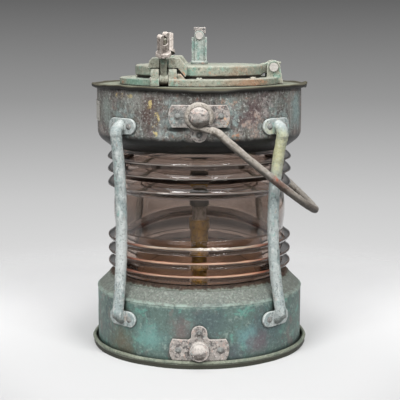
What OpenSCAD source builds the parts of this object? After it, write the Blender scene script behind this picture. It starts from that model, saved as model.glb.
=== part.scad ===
// Ship's anchor lantern with a moulded barrel lens, hinged hatch and carrying bail.
// Millimetres, Z up, the tray stands on Z = 0 and the front faces -Y.

/* [Lens] */
// Diameter over the prism tips
lens_d = 203; // [190:1:208]
// Height of the glass
lens_h = 138; // [130:1:160]
// Diameter of the smooth bore
lens_bore_d = 171; // [160:1:176]
// Glass thickness in the valleys between prisms
lens_web = 7.5; // [5:0.5:9]
// Height of the plain belt
belt_h = 44; // [36:1:50]
// Bulge of the belt beyond the valleys
belt_rise = 2.4; // [1:0.2:4]
// Width of the prism next to the belt
prism_first = 16; // [12:0.5:17]
// Each further prism is narrower by this much
prism_step = 1.5; // [0:0.25:2]
// Depth taken off the sharp prism tips
tip_cut = 0.6; // [0.2:0.1:1.5]
// Thickness of the packing rings at both ends
gasket_t = 2; // [1:0.5:4]
// Lap of the lower packing over the edge of the shoulder
gasket_lap = 2.5; // [1:0.5:4]

/* [Base] */
// Diameter of the lower drum
base_d = 228; // [222:1:236]
// Height of the lower drum's upright wall
base_wall_h = 64.5; // [55:0.5:80]
// Rise of the conical shoulder
shoulder_h = 15.5; // [10:0.5:25]
// Diameter of the lens seats
seat_d = 197; // [192:1:204]
// Diameter over the tray's bead
pan_d = 240.4; // [236:0.2:250]
// Height of the tray's lip
pan_lip_h = 8.4; // [6:0.2:12]
// Diameter of the rolled beads
bead_d = 4; // [3:0.2:5]
// Thickness of the sheet metal
sheet_t = 1.6; // [1:0.2:2.4]

/* [Upper housing] */
// Diameter of the upper drum
drum_d = 224; // [218:1:230]
// Height of the upper drum's upright wall
drum_wall_h = 54; // [46:1:70]
// Rise of the conical throat over the glass
throat_h = 10.4; // [6:0.2:16]
// Rounding between the upright wall and the throat
drum_knee_r = 14; // [6:0.5:16]
// Diameter of the roof over its rolled rim
crown_d = 235; // [230:1:236]
// Diameter of the hatch opening
hatch_d = 120; // [100:1:126]

/* [Hatch] */
// Diameter of the hatch ring
ring_d = 174; // [168:1:182]
// Height of the hatch ring
ring_h = 7.5; // [6:0.5:12]
// Diameter of the lid
lid_d = 140; // [136:1:144]
// Thickness of the lid at its edge
lid_h = 11.7; // [9:0.1:15]
// Space between ring and lid, filled by the packing
lid_gap = 1.9; // [1.2:0.1:4]
// Hinge axis to the lantern's axis
hinge_x = 80.5; // [79:0.5:83]
// Hinge axis above the hatch ring
hinge_rise = 11; // [10.5:0.5:14]
// Width of the lid's hinge knuckle
knuckle_w = 21.4; // [16:0.2:26]
// Thickness of a hinge ear
hinge_ear_t = 6; // [4:0.5:8]
// Metal round the hinge pin
hinge_wall = 4.2; // [3:0.2:5]
// Hinge axis to the outer edge of the ears' feet
hinge_foot = 10.8; // [8:0.2:12]
// Diameter of the hinge pin
hinge_pin_d = 6; // [5:0.5:7]

/* [Clamps] */
// Sideways place of the clamps
clamp_x = -36.4; // [-42:0.1:-30]
// Clamp pins to the lantern's axis
clamp_y = 74; // [73.5:0.5:78]
// Lean of the slackened bolts out of their forks
clamp_lean = 22; // [21:1:24]
// Width of the bolt's eye
bolt_eye_w = 9; // [7:0.5:11]
// Diameter of the bolt's eye
bolt_eye_d = 12; // [11:0.5:13]
// Diameter of the bolt's shank
bolt_d = 6.5; // [6:0.5:8]
// Height of the taper from the bolt's eye to its shank
bolt_taper = 11; // [9:0.5:14]
// Length of the bolt above its pin
bolt_len = 45; // [40:1:52]
// Diameter of the clamp pins
clamp_pin_d = 5; // [4:0.5:6]
// Thickness of a clamp ear
clamp_ear_t = 8.4; // [6:0.2:10]
// Width of the clamp ears at their feet
clamp_ear_w = 13; // [11:0.5:14]
// Height of the clamp ears above the ring
clamp_ear_h = 11; // [9:0.5:12]
// Top of the lid's forks above the lid
fork_rise = 8.6; // [6:0.2:9]
// Thickness of the fork prongs
fork_t = 10.6; // [8:0.2:11]
// Width of one prong
prong_w = 10; // [8:0.5:13]
// Width of the brace from the right-hand prong down to the lid's edge
brace_w = 8.8; // [5:0.2:9]
// Prong length beyond the bolt
prong_nose = 1.6; // [0.8:0.2:1.8]
// Wing nut seat above the clamp pin
nut_seat = 26.4; // [26:0.2:28]
// Diameter of the wing nut's base
nut_base_d = 16.4; // [14:0.2:17]
// Height of the wing nut
nut_h = 24; // [20:1:26]
// Height of the wing nut's collar
collar_h = 4; // [3:0.5:6]
// Diameter of the wing nut's hub
hub_d = 10; // [9.5:0.5:11]
// Height of the wing nut's hub
hub_h = 13; // [8:0.5:18]
// Thickness of the wings
wing_t = 5; // [3:0.2:6]
// Radius of the wings' round tips
wing_tip_r = 3; // [2.4:0.1:3.4]
// Turn of the wings on the bolt
nut_turn = 34; // [0:1:45]
// Gap between the tips of the wings
wing_gap = 3; // [2:0.5:6]

/* [Lifting post] */
// Height of the post's pin above the lid
post_pin_rise = 31; // [26:0.5:38]
// Width of the post's cheek plates
post_w = 16.6; // [14:0.2:20]
// Width of the post's ribs
post_rib_w = 9; // [8:0.2:12]
// Width of the slot for the link
post_slot = 5; // [4:0.2:7]
// Depth of the slot below the pin
post_slot_depth = 8; // [6:0.5:12]
// Thickness of a cheek plate
post_cheek_t = 1.8; // [1.4:0.1:2.4]
// Top of the cheek plates below the pin
post_cheek_drop = 1.5; // [0:0.5:4]
// Height of a rib on its cheek plate
post_rib_t = 2.6; // [2:0.1:3.4]
// Diameter of the post's foot
post_foot_d = 19; // [17:0.5:24]
// Height of the post's foot
post_foot_h = 3.6; // [2:0.2:5]
// Diameter of the stem in the lid
post_stem_d = 10; // [8:0.5:12]
// Diameter of the post's pin
post_pin_d = 4; // [3:0.5:5]
// Height of the link above its pin
link_h = 9; // [8:0.5:14]
// Radius of the link round its pin
link_r = 4.6; // [3.5:0.1:5]
// Thickness of the link's cross bar
link_bar_t = 3; // [2.4:0.2:5]
// Reach of the cross bar to the left of the pin
link_bar_in = 6; // [5:0.2:8]
// Reach of the cross bar to the right of the pin
link_bar_out = 7; // [6.4:0.2:8]
// Width of the toe at the bar's right end
link_toe_w = 4.6; // [4:0.2:5]
// Diameter of the hole in the link
link_eye_d = 2.6; // [2:0.2:3.2]
// Hole to the top of the link
link_eye_inset = 2.4; // [2:0.2:4]

/* [Bail] */
// Height of the bail's pivot
bail_z = 260.3; // [255:0.1:270]
// Pivot axis to the middle of the bail's crown
bail_reach = 171; // [168:1:190]
// Half of the span at the eyes
bail_half_span = 123.4; // [122:0.2:126]
// Bend radius of the bail's crown
bail_crown_r = 60; // [50:1:80]
// Turn of the rod round each stud
bail_loop_turn = 292; // [270:1:300]
// Bend of the rod between loop and arm
bail_knee = 29; // [25:1:40]
// Radius of that bend
bail_knee_r = 18; // [12:1:24]
// Angle of the hung bail below the horizontal
bail_drop = 40.7; // [34:0.1:41.5]
// Diameter of the rod
bail_rod_d = 7.4; // [6:0.2:8]

/* [Lugs] */
// Width of the lug castings
lug_w = 62; // [50:1:70]
// Height of the lug's wings
lug_h = 22.6; // [18:0.2:26]
// Radius of the lug's curved ends
lug_end_r = 20; // [15:1:28]
// Fillet between the lug's tab and wings
lug_fillet = 4; // [2:0.5:6]
// Width of the lug's tab
lug_tab_w = 16.5; // [14:0.5:20]
// Tab end to the lug's centre
lug_tab_reach = 26; // [22:0.5:27]
// Thickness of the castings
lug_t = 3.5; // [2.5:0.5:4.5]
// Diameter of the domed heads
dome_d = 21; // [18:0.5:23]
// Height of the domes
dome_h = 6.6; // [5:0.2:9]
// Diameter of the pivot studs
stud_d = 14; // [10:0.5:14]
// Height of the lower lugs' centres
lower_lug_z = 19.4; // [19:0.2:24]
// Diameter of all rivets
rivet_d = 4; // [3:0.5:5]

/* [Guards] */
// Diameter of the guard bars
guard_d = 12; // [8:0.5:13]
// Angle of the guards from the front
guard_angle = 45; // [40:1:50]
// Height of the upper palms
guard_top_z = 248; // [245:0.5:256]
// Height of the lower palms
guard_foot_z = 45; // [40:0.5:50]
// Largest distance of a bar from the axis
guard_r = 121; // [119:0.5:124]
// Inward bow of the bars
guard_bow = 6.2; // [3:0.1:7]
// Inward bow of the front right bar, bent further in use
guard_bow_bent = 11.5; // [6:0.5:12]
// Bend radius at the palms
guard_bend = 8; // [7:0.5:12]
// Each forged stretch of a bar or bail is thicker than the next by this much
swell = 0.6; // [0.4:0.1:1]
// Rivet to rivet across a palm
palm_pitch = 23.4; // [20:0.2:28]
// Width of a palm's round ends
palm_d = 16.5; // [11:0.5:18]
// Thickness of a palm
palm_t = 3; // [2:0.5:4]

/* [Lamp] */
// Diameter of the lamp column
column_d = 20; // [16:0.5:26]
// Top of the lamp column
column_top = 129; // [110:1:135]
// Diameter of the foot flange
flange_d = 50; // [44:1:70]
// Thickness of the foot flange
flange_t = 3; // [2:0.5:5]
// Height of the flange's socket
flange_boss_h = 12; // [8:1:20]
// Wall of the flange's socket
flange_boss_t = 4; // [2:0.5:5]
// Diameter of the flange screws
flange_screw_d = 3.2; // [2.5:0.1:4]
// Screws to the flange's rim
flange_screw_inset = 7; // [5:0.5:8]
// Diameter of the lamp holder's neck
holder_d = 16; // [14:0.5:20]
// Diameter of the holder's cap
cap_d = 22; // [20:0.5:28]
// Diameter of the bulb
bulb_d = 17; // [14:0.5:19]
// Height of the bulb above the cap
bulb_h = 30; // [24:1:40]

/* [Cable entry] */
// Height of the cable gland
gland_z = 30; // [24:1:38]
// Angle of the gland from the front
gland_angle = 154; // [152:1:156]
// Diameter of the gland's flange
gland_flange_d = 22; // [20:0.5:24]
// Cable passage through the gland
gland_bore_d = 9; // [7:0.5:10]
// Length of the gland outside the drum
gland_len = 20; // [16:1:26]

/* [Name plate] */
// Height of the blank plate
plate_h = 21; // [16:1:26]
// Arc of the blank plate
plate_arc = 38; // [30:1:46]
// Thickness of the plate
plate_t = 1; // [0.8:0.1:2]

/* [Fits] */
// Radial clearance of pins and rivets in their holes
slip = 0.05; // [0.02:0.01:0.1]
// Clearance between moving faces
gap = 0.4; // [0.3:0.05:0.8]

/* [Hidden] */
$fn = 96;
lens_r = lens_d / 2;
bore_r = lens_bore_d / 2;
valley_r = bore_r + lens_web;
base_r = base_d / 2;
seat_r = seat_d / 2;
drum_r = drum_d / 2;
crown_r = crown_d / 2;
ring_r = ring_d / 2;
hatch_r = hatch_d / 2;
lid_r = lid_d / 2;
z_seat = base_wall_h + shoulder_h;
z_lens = z_seat + gasket_t;
z_throat = z_lens + lens_h + gasket_t;
z_drum = z_throat + throat_h;
z_crown = z_drum + drum_wall_h;
z_ring = z_crown + sheet_t;
z_ring_top = z_ring + ring_h;
z_lid = z_ring_top + lid_gap;
z_lid_top = z_lid + lid_h;
z_hinge = z_ring_top + hinge_rise;
z_fork_top = z_lid_top + fork_rise;
z_fork = z_fork_top - fork_t;
z_clamp = z_ring_top;
z_post_pin = z_lid_top + post_pin_rise;
z_column = sheet_t + flange_t;
bolt_slot = bolt_eye_w + 2 * gap;
hinge_slot = knuckle_w + 2 * gap;
prong_bevel = 3;
brace_gap = 1.6;
brace_root = bolt_slot / 2 + clamp_ear_t + gap;
brace_run = (bolt_slot / 2 + prong_w + brace_w - prong_bevel / 2 - brace_root) / (z_fork - z_lid);
eye_in = bail_half_span - bail_rod_d / 2;
eye_out = bail_half_span + bail_rod_d / 2;
loop_r = stud_d / 2 + gap + bail_rod_d / 2;
neck_len = loop_r / tan(bail_knee);
knee_x = loop_r / sin(bail_knee);
arm_x = knee_x + bail_knee_r * tan(bail_knee / 2);
upper_lug_rivet = 0.70 * lug_w / 2;
tab_rivet = lug_tab_reach - lug_tab_w / 2 + 1;
collar_top = column_top + 8;
holder_top = collar_top + 12;
cap_top = holder_top + 12;
flank_run = bail_reach - bail_crown_r - arm_x;
flank_r = (flank_run * flank_run + bail_half_span * bail_half_span - bail_crown_r * bail_crown_r)
    / (2 * bail_half_span - 2 * bail_crown_r);
flank_turn = atan2(flank_run, flank_r - bail_half_span);
bail_lap = 1.5;
knee_bite = 0.1;
post_stem_r = post_stem_d / 2;
post_stem_h = 4;
cheek_in = post_slot / 2;
cheek_out = cheek_in + post_cheek_t;
rib_out = cheek_out + post_rib_t;
far = 400;

// Angle of an arc of given length
function arc_of(length, r) = length / r * 180 / PI;

// Helpers

// Places the children at an angle from the front, with +X pointing outward from the axis
module around(angle) {
    rotate([0, 0, angle - 90]) children();
}

// Cylinder along +X
module rod_x(r, x0, x1) {
    translate([x0, 0, 0]) rotate([0, 90, 0]) cylinder(r = r, h = x1 - x0);
}

// Cylinder along +Y
module rod_y(r, y0, y1) {
    translate([0, y0, 0]) rotate([-90, 0, 0]) cylinder(r = r, h = y1 - y0);
}

// Round ring between two radii
module ring(r_in, r_out, z0, z1) {
    translate([0, 0, z0]) difference() {
        cylinder(r = r_out, h = z1 - z0);
        translate([0, 0, -1]) cylinder(r = r_in, h = z1 - z0 + 2);
    }
}

// Shank along +X up to x = 0 with a domed head on its end, turned in one piece
module headed(shank_d, shank_len, head_d, head_h) {
    ball_r = (head_d * head_d / 4 + head_h * head_h) / (2 * head_h);
    rotate([0, 90, 0]) rotate_extrude() {
        translate([0, -shank_len]) square([shank_d / 2, shank_len + head_h / 2]);
        intersection() {
            translate([0, head_h - ball_r]) circle(r = ball_r);
            square([head_d, head_h]);
        }
    }
}

// Rivet along +X: shank through to the inside and a domed head at x = 0
module rivet(depth) {
    headed(rivet_d, depth, rivet_d * 1.7, rivet_d * 0.45);
}

// Places the children at both rivets of every palm, on the palm's outer face
module at_palm_rivets(z, face_r) {
    swing = asin(palm_pitch / 2 / face_r);
    for (quarter = [guard_angle, 180 - guard_angle, 180 + guard_angle, -guard_angle])
        for (side = [-1, 1])
            around(quarter + side * swing) translate([face_r, 0, z]) children();
}

// Places the children at the three rivets of a lug at the front and at the rear
module at_lug_rivets(z, face_r, up) {
    swing = asin(upper_lug_rivet / face_r);
    for (side = [0, 180]) {
        for (turn = [-swing, swing]) around(side + turn) translate([face_r, 0, z]) children();
        around(side) translate([face_r, 0, z + up * tab_rivet]) children();
    }
}

// All rivet holes through the lower drum, or through the upper drum
module base_rivet_holes() {
    at_palm_rivets(guard_foot_z, base_r + palm_t) rod_x(rivet_d / 2 + slip, -far / 20, 4);
    at_lug_rivets(lower_lug_z, base_r + lug_t, 1) rod_x(rivet_d / 2 + slip, -far / 20, 4);
}
module drum_rivet_holes() {
    at_palm_rivets(guard_top_z, drum_r + palm_t) rod_x(rivet_d / 2 + slip, -far / 20, 4);
    at_lug_rivets(bail_z, drum_r + lug_t, -1) rod_x(rivet_d / 2 + slip, -far / 20, 4);
}

// Sheet metal body

module base_pan() {
    lip_r = pan_d / 2 - bead_d / 2;
    lip_top = pan_lip_h - bead_d / 2;
    color("SeaGreen") rotate_extrude() {
        square([lip_r + sheet_t / 2, sheet_t]);
        translate([lip_r - sheet_t / 2, 0]) square([sheet_t, lip_top]);
        translate([lip_r, lip_top]) circle(d = bead_d);
    }
}

module base_drum() {
    color("CadetBlue") difference() {
        rotate_extrude() polygon([
            [base_r, sheet_t], [base_r, base_wall_h], [seat_r, z_seat], [bore_r, z_seat],
            [bore_r, z_seat - sheet_t], [seat_r - sheet_t / 2, z_seat - sheet_t],
            [base_r - sheet_t, base_wall_h - sheet_t / 2], [base_r - sheet_t, sheet_t]]);
        base_rivet_holes();
        around(gland_angle) translate([0, 0, gland_z]) rod_x(gland_bore_d / 2 - 0.4, base_r - 10, far / 2);
    }
}

// Half section of the space inside the drum's skin, the skin moved in by a thickness t
module drum_space(t) {
    lean = atan2(drum_r - seat_r, throat_h);
    tangent = drum_knee_r * tan(lean / 2);
    knee = [drum_r, z_drum];
    centre = knee + [-drum_knee_r, tangent];
    reach = 2 * drum_knee_r;
    difference() {
        polygon([[0, z_throat + t], [seat_r - t * tan(lean / 2), z_throat + t],
            [drum_r - t, z_drum + t * tan(lean / 2)], [drum_r - t, z_crown + t], [0, z_crown + t]]);
        difference() {
            polygon([centre, centre + [reach, 0], knee + [reach, -reach],
                centre + reach * [cos(lean), -sin(lean)]]);
            translate(centre) circle(r = drum_knee_r + knee_bite - t);
        }
    }
}

module upper_drum() {
    color("SlateGray") difference() {
        rotate_extrude() intersection() {
            difference() {
                drum_space(0);
                drum_space(sheet_t);
            }
            translate([bore_r, z_throat]) square([drum_r, z_crown - z_throat]);
        }
        drum_rivet_holes();
        at_plate_pins() rod_x(rivet_d / 4 + slip, -10, 2);
    }
}

module top_plate() {
    rim_r = crown_r - bead_d / 2;
    color("DarkSeaGreen") rotate_extrude() {
        translate([hatch_r, z_crown]) square([rim_r - hatch_r, sheet_t]);
        translate([rim_r, z_crown + sheet_t / 2]) circle(d = bead_d);
    }
}

module at_plate_pins() {
    for (side = [-1, 1])
        for (level = [-1, 1])
            around(-90 + side * (plate_arc / 2 - 3))
                translate([drum_r + plate_t, 0, bail_z + level * (plate_h / 2 - 3)]) children();
}

module name_plate() {
    color("DarkKhaki") difference() {
        around(-90) rotate([0, 0, -plate_arc / 2]) rotate_extrude(angle = plate_arc)
            translate([drum_r, bail_z - plate_h / 2]) square([plate_t, plate_h]);
        at_plate_pins() rod_x(rivet_d / 4 + slip, -10, 2);
    }
}

module name_plate_pins() {
    color("DarkKhaki") at_plate_pins() headed(rivet_d / 2, plate_t + sheet_t, rivet_d * 0.8, rivet_d * 0.2);
}

// Glass

// One prism: straight face on the belt side, bulged face beyond the tip
module prism(w) {
    h = lens_r + tip_cut - valley_r;
    tip = [h, 0.42 * w];
    root = [0, w];
    chord = norm(root - tip);
    bulge_r = 1.3 * chord;
    middle = (tip + root) / 2;
    out = [(root - tip)[1], -(root - tip)[0]] / chord;
    centre = middle - out * sqrt(bulge_r * bulge_r - chord * chord / 4);
    intersection() {
        translate(centre) circle(r = bulge_r);
        polygon([[-1, 0], [0, 0], 1.5 * tip, [1.5 * h, w], [-1, w]]);
    }
}

module prism_stack() {
    starts = [belt_h / 2, belt_h / 2 + prism_first, belt_h / 2 + 2 * prism_first - prism_step];
    for (i = [0 : 2]) translate([valley_r, starts[i]]) prism(prism_first - i * prism_step);
}

// Moulded barrel with both ends ground flat
module fresnel_lens() {
    belt_r = (belt_h * belt_h / 4 + belt_rise * belt_rise) / (2 * belt_rise);
    color("RosyBrown", 0.6) translate([0, 0, z_lens + lens_h / 2]) rotate_extrude() intersection() {
        translate([bore_r, -lens_h / 2]) square([lens_r - bore_r, lens_h]);
        union() {
            translate([bore_r, -lens_h / 2]) square([lens_web, lens_h]);
            intersection() {
                translate([valley_r + belt_rise - belt_r, 0]) circle(r = belt_r);
                translate([valley_r - 1, -belt_h / 2]) square([2 * belt_rise + 1, belt_h]);
            }
            prism_stack();
            mirror([0, 1]) prism_stack();
        }
    }
}

// Lower packing, pressed over the edge of the shoulder into a bead
module lower_gasket() {
    fall = shoulder_h / (base_r - seat_r);
    lap_r = seat_r + gasket_lap;
    lap_z = z_seat - gasket_lap * fall + 2 * slip;
    color("DimGray") rotate_extrude() polygon([
        [bore_r + 1, z_seat], [seat_r, z_seat + slip], [lap_r, lap_z], [lap_r, lap_z + gasket_t / 2],
        [seat_r - 1, z_lens], [bore_r + 1, z_lens]]);
}

module upper_gasket() {
    color("DimGray") ring(bore_r + 1, valley_r + 1, z_throat - gasket_t, z_throat);
}

// Guards

// Bar in the X-Z plane: two elbows joined by one bowed arc
module guard_bar(bow) {
    mid_z = (guard_top_z + guard_foot_z) / 2;
    half = (guard_top_z - guard_foot_z) / 2 - guard_bend;
    sweep = 2 * atan(bow / half);
    bow_r = half / sin(sweep) - guard_bend;
    bow_x = guard_r - bow + bow_r;
    lap = 1.5;
    bow_lap = arc_of(lap, bow_r);
    translate([bow_x, 0, mid_z]) rotate([90, 0, 0]) rotate([0, 0, 180 - sweep - bow_lap])
        rotate_extrude(angle = 2 * (sweep + bow_lap)) translate([bow_r, 0]) circle(d = guard_d);
    for (end = [0, 1]) translate([0, 0, mid_z]) mirror([0, 0, end]) {
        translate([guard_r - guard_bend, 0, half]) rotate([90, 0, 0]) rotate([0, 0, -sweep])
            rotate_extrude(angle = 90 + sweep) translate([guard_bend, 0]) circle(d = guard_d + swell);
        translate([0, 0, half + guard_bend])
            rod_x(guard_d / 2 + swell, drum_r - 10, guard_r - guard_bend + lap);
    }
}

// Riveted palm that follows the drum
module palm(r, z) {
    intersection() {
        ring(r, r + palm_t, z - palm_d, z + palm_d);
        translate([0, 0, z]) {
            translate([0, -palm_pitch / 2, -palm_d / 2]) cube([far / 2, palm_pitch, palm_d]);
            for (side = [-1, 1]) translate([0, side * palm_pitch / 2, 0]) rod_x(palm_d / 2, 0, far / 2);
        }
    }
}

module guard(angle, bow) {
    color("LightSteelBlue") difference() {
        around(angle) {
            difference() {
                guard_bar(bow);
                translate([0, 0, -1]) cylinder(r = base_r, h = z_seat);
                translate([0, 0, z_drum]) cylinder(r = drum_r, h = far);
            }
            palm(base_r, guard_foot_z);
            palm(drum_r, guard_top_z);
        }
        base_rivet_holes();
        drum_rivet_holes();
    }
}

module guard_front_left() { guard(-guard_angle, guard_bow); }
module guard_front_right() { guard(guard_angle, guard_bow_bent); }
module guard_rear_left() { guard(guard_angle - 180, guard_bow); }
module guard_rear_right() { guard(180 - guard_angle, guard_bow); }

module guard_rivets() {
    color("LightSlateGray") {
        at_palm_rivets(guard_top_z, drum_r + palm_t) rivet(palm_t + sheet_t);
        at_palm_rivets(guard_foot_z, base_r + palm_t) rivet(palm_t + sheet_t);
    }
}

// Lugs and bail

// T-shaped flange outline in the Y-Z plane, tab towards +Z
module lug_outline() {
    intersection() {
        union() {
            for (side = [-1, 1]) translate([side * (lug_w / 2 - lug_end_r), 0]) circle(r = lug_end_r);
            square([lug_w - 2 * lug_end_r, lug_h], center = true);
        }
        square([2 * lug_w, lug_h], center = true);
    }
    for (side = [0, 1]) mirror([side, 0]) difference() {
        translate([lug_tab_w / 2 - 1, lug_h / 2 - 1]) square(lug_fillet + 1);
        translate([lug_tab_w / 2 + lug_fillet, lug_h / 2 + lug_fillet]) circle(r = lug_fillet);
    }
    translate([-lug_tab_w / 2, 0]) square([lug_tab_w, lug_tab_reach - lug_tab_w / 2]);
    translate([0, lug_tab_reach - lug_tab_w / 2]) circle(d = lug_tab_w);
}

// Flange bent to a drum of radius r at the origin's height
module lug_flange(r) {
    intersection() {
        ring(r, r + lug_t, -far / 8, far / 8);
        rotate([90, 0, 90]) linear_extrude(far / 2) lug_outline();
    }
}

module upper_lug(angle) {
    color("Silver") difference() {
        union() {
            around(angle) translate([0, 0, bail_z]) {
                mirror([0, 0, 1]) lug_flange(drum_r);
                difference() {
                    rod_x(dome_d / 2 + 1, drum_r - 2, eye_in - gap);
                    translate([0, 0, -far / 8]) cylinder(r = drum_r + lug_t / 2, h = far / 4);
                }
            }
        }
        drum_rivet_holes();
        around(angle) translate([0, 0, bail_z]) rod_x(stud_d / 2 + slip, drum_r + 0.5, far / 2);
    }
}

module front_upper_lug() { upper_lug(0); }
module rear_upper_lug() { upper_lug(180); }

module lower_lug(angle) {
    color("Silver") difference() {
        around(angle) translate([0, 0, lower_lug_z]) {
            lug_flange(base_r);
            difference() {
                translate([base_r + lug_t + 3, 0, 0]) headed(dome_d - 1, lug_t + 5, dome_d, dome_h);
                translate([0, 0, -far / 8]) cylinder(r = base_r + lug_t / 2, h = far / 4);
            }
        }
        base_rivet_holes();
    }
}

module front_lower_lug() { lower_lug(0); }
module rear_lower_lug() { lower_lug(180); }

module lug_rivets() {
    color("LightSlateGray") {
        at_lug_rivets(bail_z, drum_r + lug_t, -1) rivet(lug_t + sheet_t);
        at_lug_rivets(lower_lug_z, base_r + lug_t, 1) rivet(lug_t + sheet_t);
    }
}

module stud(angle) {
    color("Silver") around(angle) translate([0, 0, bail_z]) {
        translate([eye_out + gap, 0, 0]) headed(stud_d, eye_out + gap - drum_r - 0.5, dome_d, dome_h);
    }
}

module front_stud() { stud(0); }
module rear_stud() { stud(180); }

// One side of the bail in its own plane: X along the reach, Y towards the stud.
// The rod turns round the stud, leaves its loop straight and bends into the curved arm.
module bail_side() {
    translate([arm_x, bail_half_span - flank_r, 0]) rotate([0, 0, 90 - flank_turn])
        rotate_extrude(angle = flank_turn + arc_of(bail_lap, flank_r))
            translate([flank_r, 0]) circle(d = bail_rod_d + swell);
    knee_lap = arc_of(bail_lap, bail_knee_r);
    translate([arm_x, bail_half_span, -bail_knee_r]) rotate([90, 0, 0]) rotate([0, 0, 90 - knee_lap])
        rotate_extrude(angle = bail_knee + 2 * knee_lap)
            translate([bail_knee_r, 0]) circle(d = bail_rod_d + 2 * swell);
    translate([knee_x, bail_half_span, 0]) rotate([0, -bail_knee, 0])
        rod_x(bail_rod_d / 2 - swell / 2, -neck_len - bail_lap,
            bail_lap - bail_knee_r * tan(bail_knee / 2));
    translate([0, bail_half_span, 0]) rotate([90, 0, 0]) rotate([0, 0, bail_knee - 90 - bail_loop_turn])
        rotate_extrude(angle = bail_loop_turn) translate([loop_r, 0]) circle(d = bail_rod_d);
}

module bail_crown() {
    half = 90 - flank_turn + arc_of(bail_lap, bail_crown_r);
    translate([bail_reach - bail_crown_r, 0, 0]) rotate([0, 0, -half])
        rotate_extrude(angle = 2 * half) translate([bail_crown_r, 0]) circle(d = bail_rod_d);
}

module bail() {
    color("Tan") translate([0, 0, bail_z]) rotate([0, bail_drop, 0]) {
        bail_crown();
        bail_side();
        mirror([0, 1, 0]) bail_side();
    }
}

// Hatch

// Ear outline in the X-Z plane: round about a pin, running down to a foot from foot_in to foot_out
module ear_outline(pin_z, r, foot_in, foot_out, foot_z) {
    translate([0, pin_z]) circle(r = r);
    polygon([[-foot_in, foot_z], [foot_out, foot_z], [r, pin_z], [-r, pin_z]]);
}

module hinge_ears() {
    ear_r = hinge_pin_d / 2 + hinge_wall;
    for (side = [-1, 1])
        translate([hinge_x, side * (hinge_slot + hinge_ear_t) / 2 + hinge_ear_t / 2, 0]) rotate([90, 0, 0])
            linear_extrude(hinge_ear_t)
                ear_outline(z_hinge, ear_r, ear_r, hinge_foot, z_ring);
}

// Clamp ears, each on a foot that runs back into the ring, the right-hand one with a gusset
module clamp_ears() {
    tip_r = clamp_ear_w / 2 - 1;
    gusset_t = clamp_ear_w / 2;
    gusset_top = z_ring_top + clamp_ear_h - tip_r;
    gusset_out = brace_root + (z_fork - z_ring_top) * brace_run - brace_gap;
    translate([clamp_x, gusset_t / 2 - clamp_y, 0]) rotate([90, 0, 0]) linear_extrude(gusset_t)
        polygon([[brace_root - 2, z_ring], [gusset_out, z_ring], [gusset_out, z_ring_top],
            [gusset_out - (gusset_top - z_ring_top) * brace_run, gusset_top],
            [brace_root - 2, gusset_top]]);
    for (side = [-1, 1])
        translate([clamp_x + side * (bolt_slot + clamp_ear_t) / 2 - clamp_ear_t / 2, -clamp_y, 0]) {
            rotate([90, 0, 90]) linear_extrude(clamp_ear_t)
                ear_outline(gusset_top, tip_r, clamp_ear_w / 2, clamp_ear_w / 2, z_ring);
            translate([0, -clamp_ear_w / 2, z_ring])
                cube([clamp_ear_t, clamp_y + clamp_ear_w / 2 - hatch_r, ring_h]);
        }
}

module at_ring_screws() {
    for (angle = [45, 135, 0, 180, -60, 240])
        around(angle) translate([(ring_r + lid_r) / 2 + 1.4, 0, z_ring_top]) children();
}

module hatch_ring() {
    slot_in = clamp_y - bolt_eye_d / 2 - gap;
    color("DarkSeaGreen") difference() {
        union() {
            ring(hatch_r, ring_r, z_ring, z_ring_top);
            difference() {
                hinge_ears();
                translate([0, 0, z_ring]) cylinder(r = lid_r + 1, h = far);
            }
            clamp_ears();
            mirror([0, 1, 0]) clamp_ears();
        }
        translate([hinge_x, 0, z_hinge]) rod_y(hinge_pin_d / 2 + slip, -far / 8, far / 8);
        for (side = [-1, 1]) {
            translate([clamp_x, side * clamp_y, z_clamp])
                rod_x(clamp_pin_d / 2 + slip, -far / 8, far / 8);
            translate([clamp_x - bolt_slot / 2, side > 0 ? slot_in : -slot_in - far / 10, z_ring - 1])
                cube([bolt_slot, far / 10, ring_h + 2]);
        }
        at_ring_screws() translate([0, 0, -ring_h - 1]) cylinder(r = rivet_d / 2 + slip, h = ring_h + 2);
    }
}

module ring_screws() {
    color("DarkKhaki") at_ring_screws() difference() {
        union() {
            translate([0, 0, -ring_h]) cylinder(r = rivet_d / 2, h = ring_h);
            cylinder(r1 = rivet_d * 0.85, r2 = rivet_d * 0.65, h = 1.8);
        }
        translate([-far / 2, -0.5, 0.9]) cube([far, 1, 2]);
    }
}

module hinge_pin() {
    half = hinge_slot / 2 + hinge_ear_t;
    color("Silver") translate([hinge_x, 0, z_hinge]) {
        rod_y(hinge_pin_d / 2, -half - 0.5, half + 3);
        rod_y(hinge_pin_d / 2 + 1.7, -half - 3, -half);
    }
}

// Clamp fork on the lid, open to the front
module clamp_fork() {
    half = bolt_slot / 2 + prong_w;
    nose = clamp_y + prong_nose;
    root = 26;
    difference() {
        translate([clamp_x, root - clamp_y, 0]) rotate([90, 0, 0]) linear_extrude(root + prong_nose)
            polygon([[-half - prong_bevel / 2, z_fork], [-half, z_fork_top - prong_bevel],
                [prong_bevel - half, z_fork_top], [half + prong_bevel / 2, z_fork_top],
                [half + brace_w, z_fork + prong_bevel / 2], [half + brace_w, z_lid + prong_bevel],
                [half + brace_w - prong_bevel / 2, z_lid],
                [brace_root, z_fork]]);
        translate([clamp_x - bolt_slot / 2, -nose - 1, z_fork - 1])
            cube([bolt_slot, prong_nose + 1 + bolt_d / 2 + 1.5, fork_t + 2]);
    }
}

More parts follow.
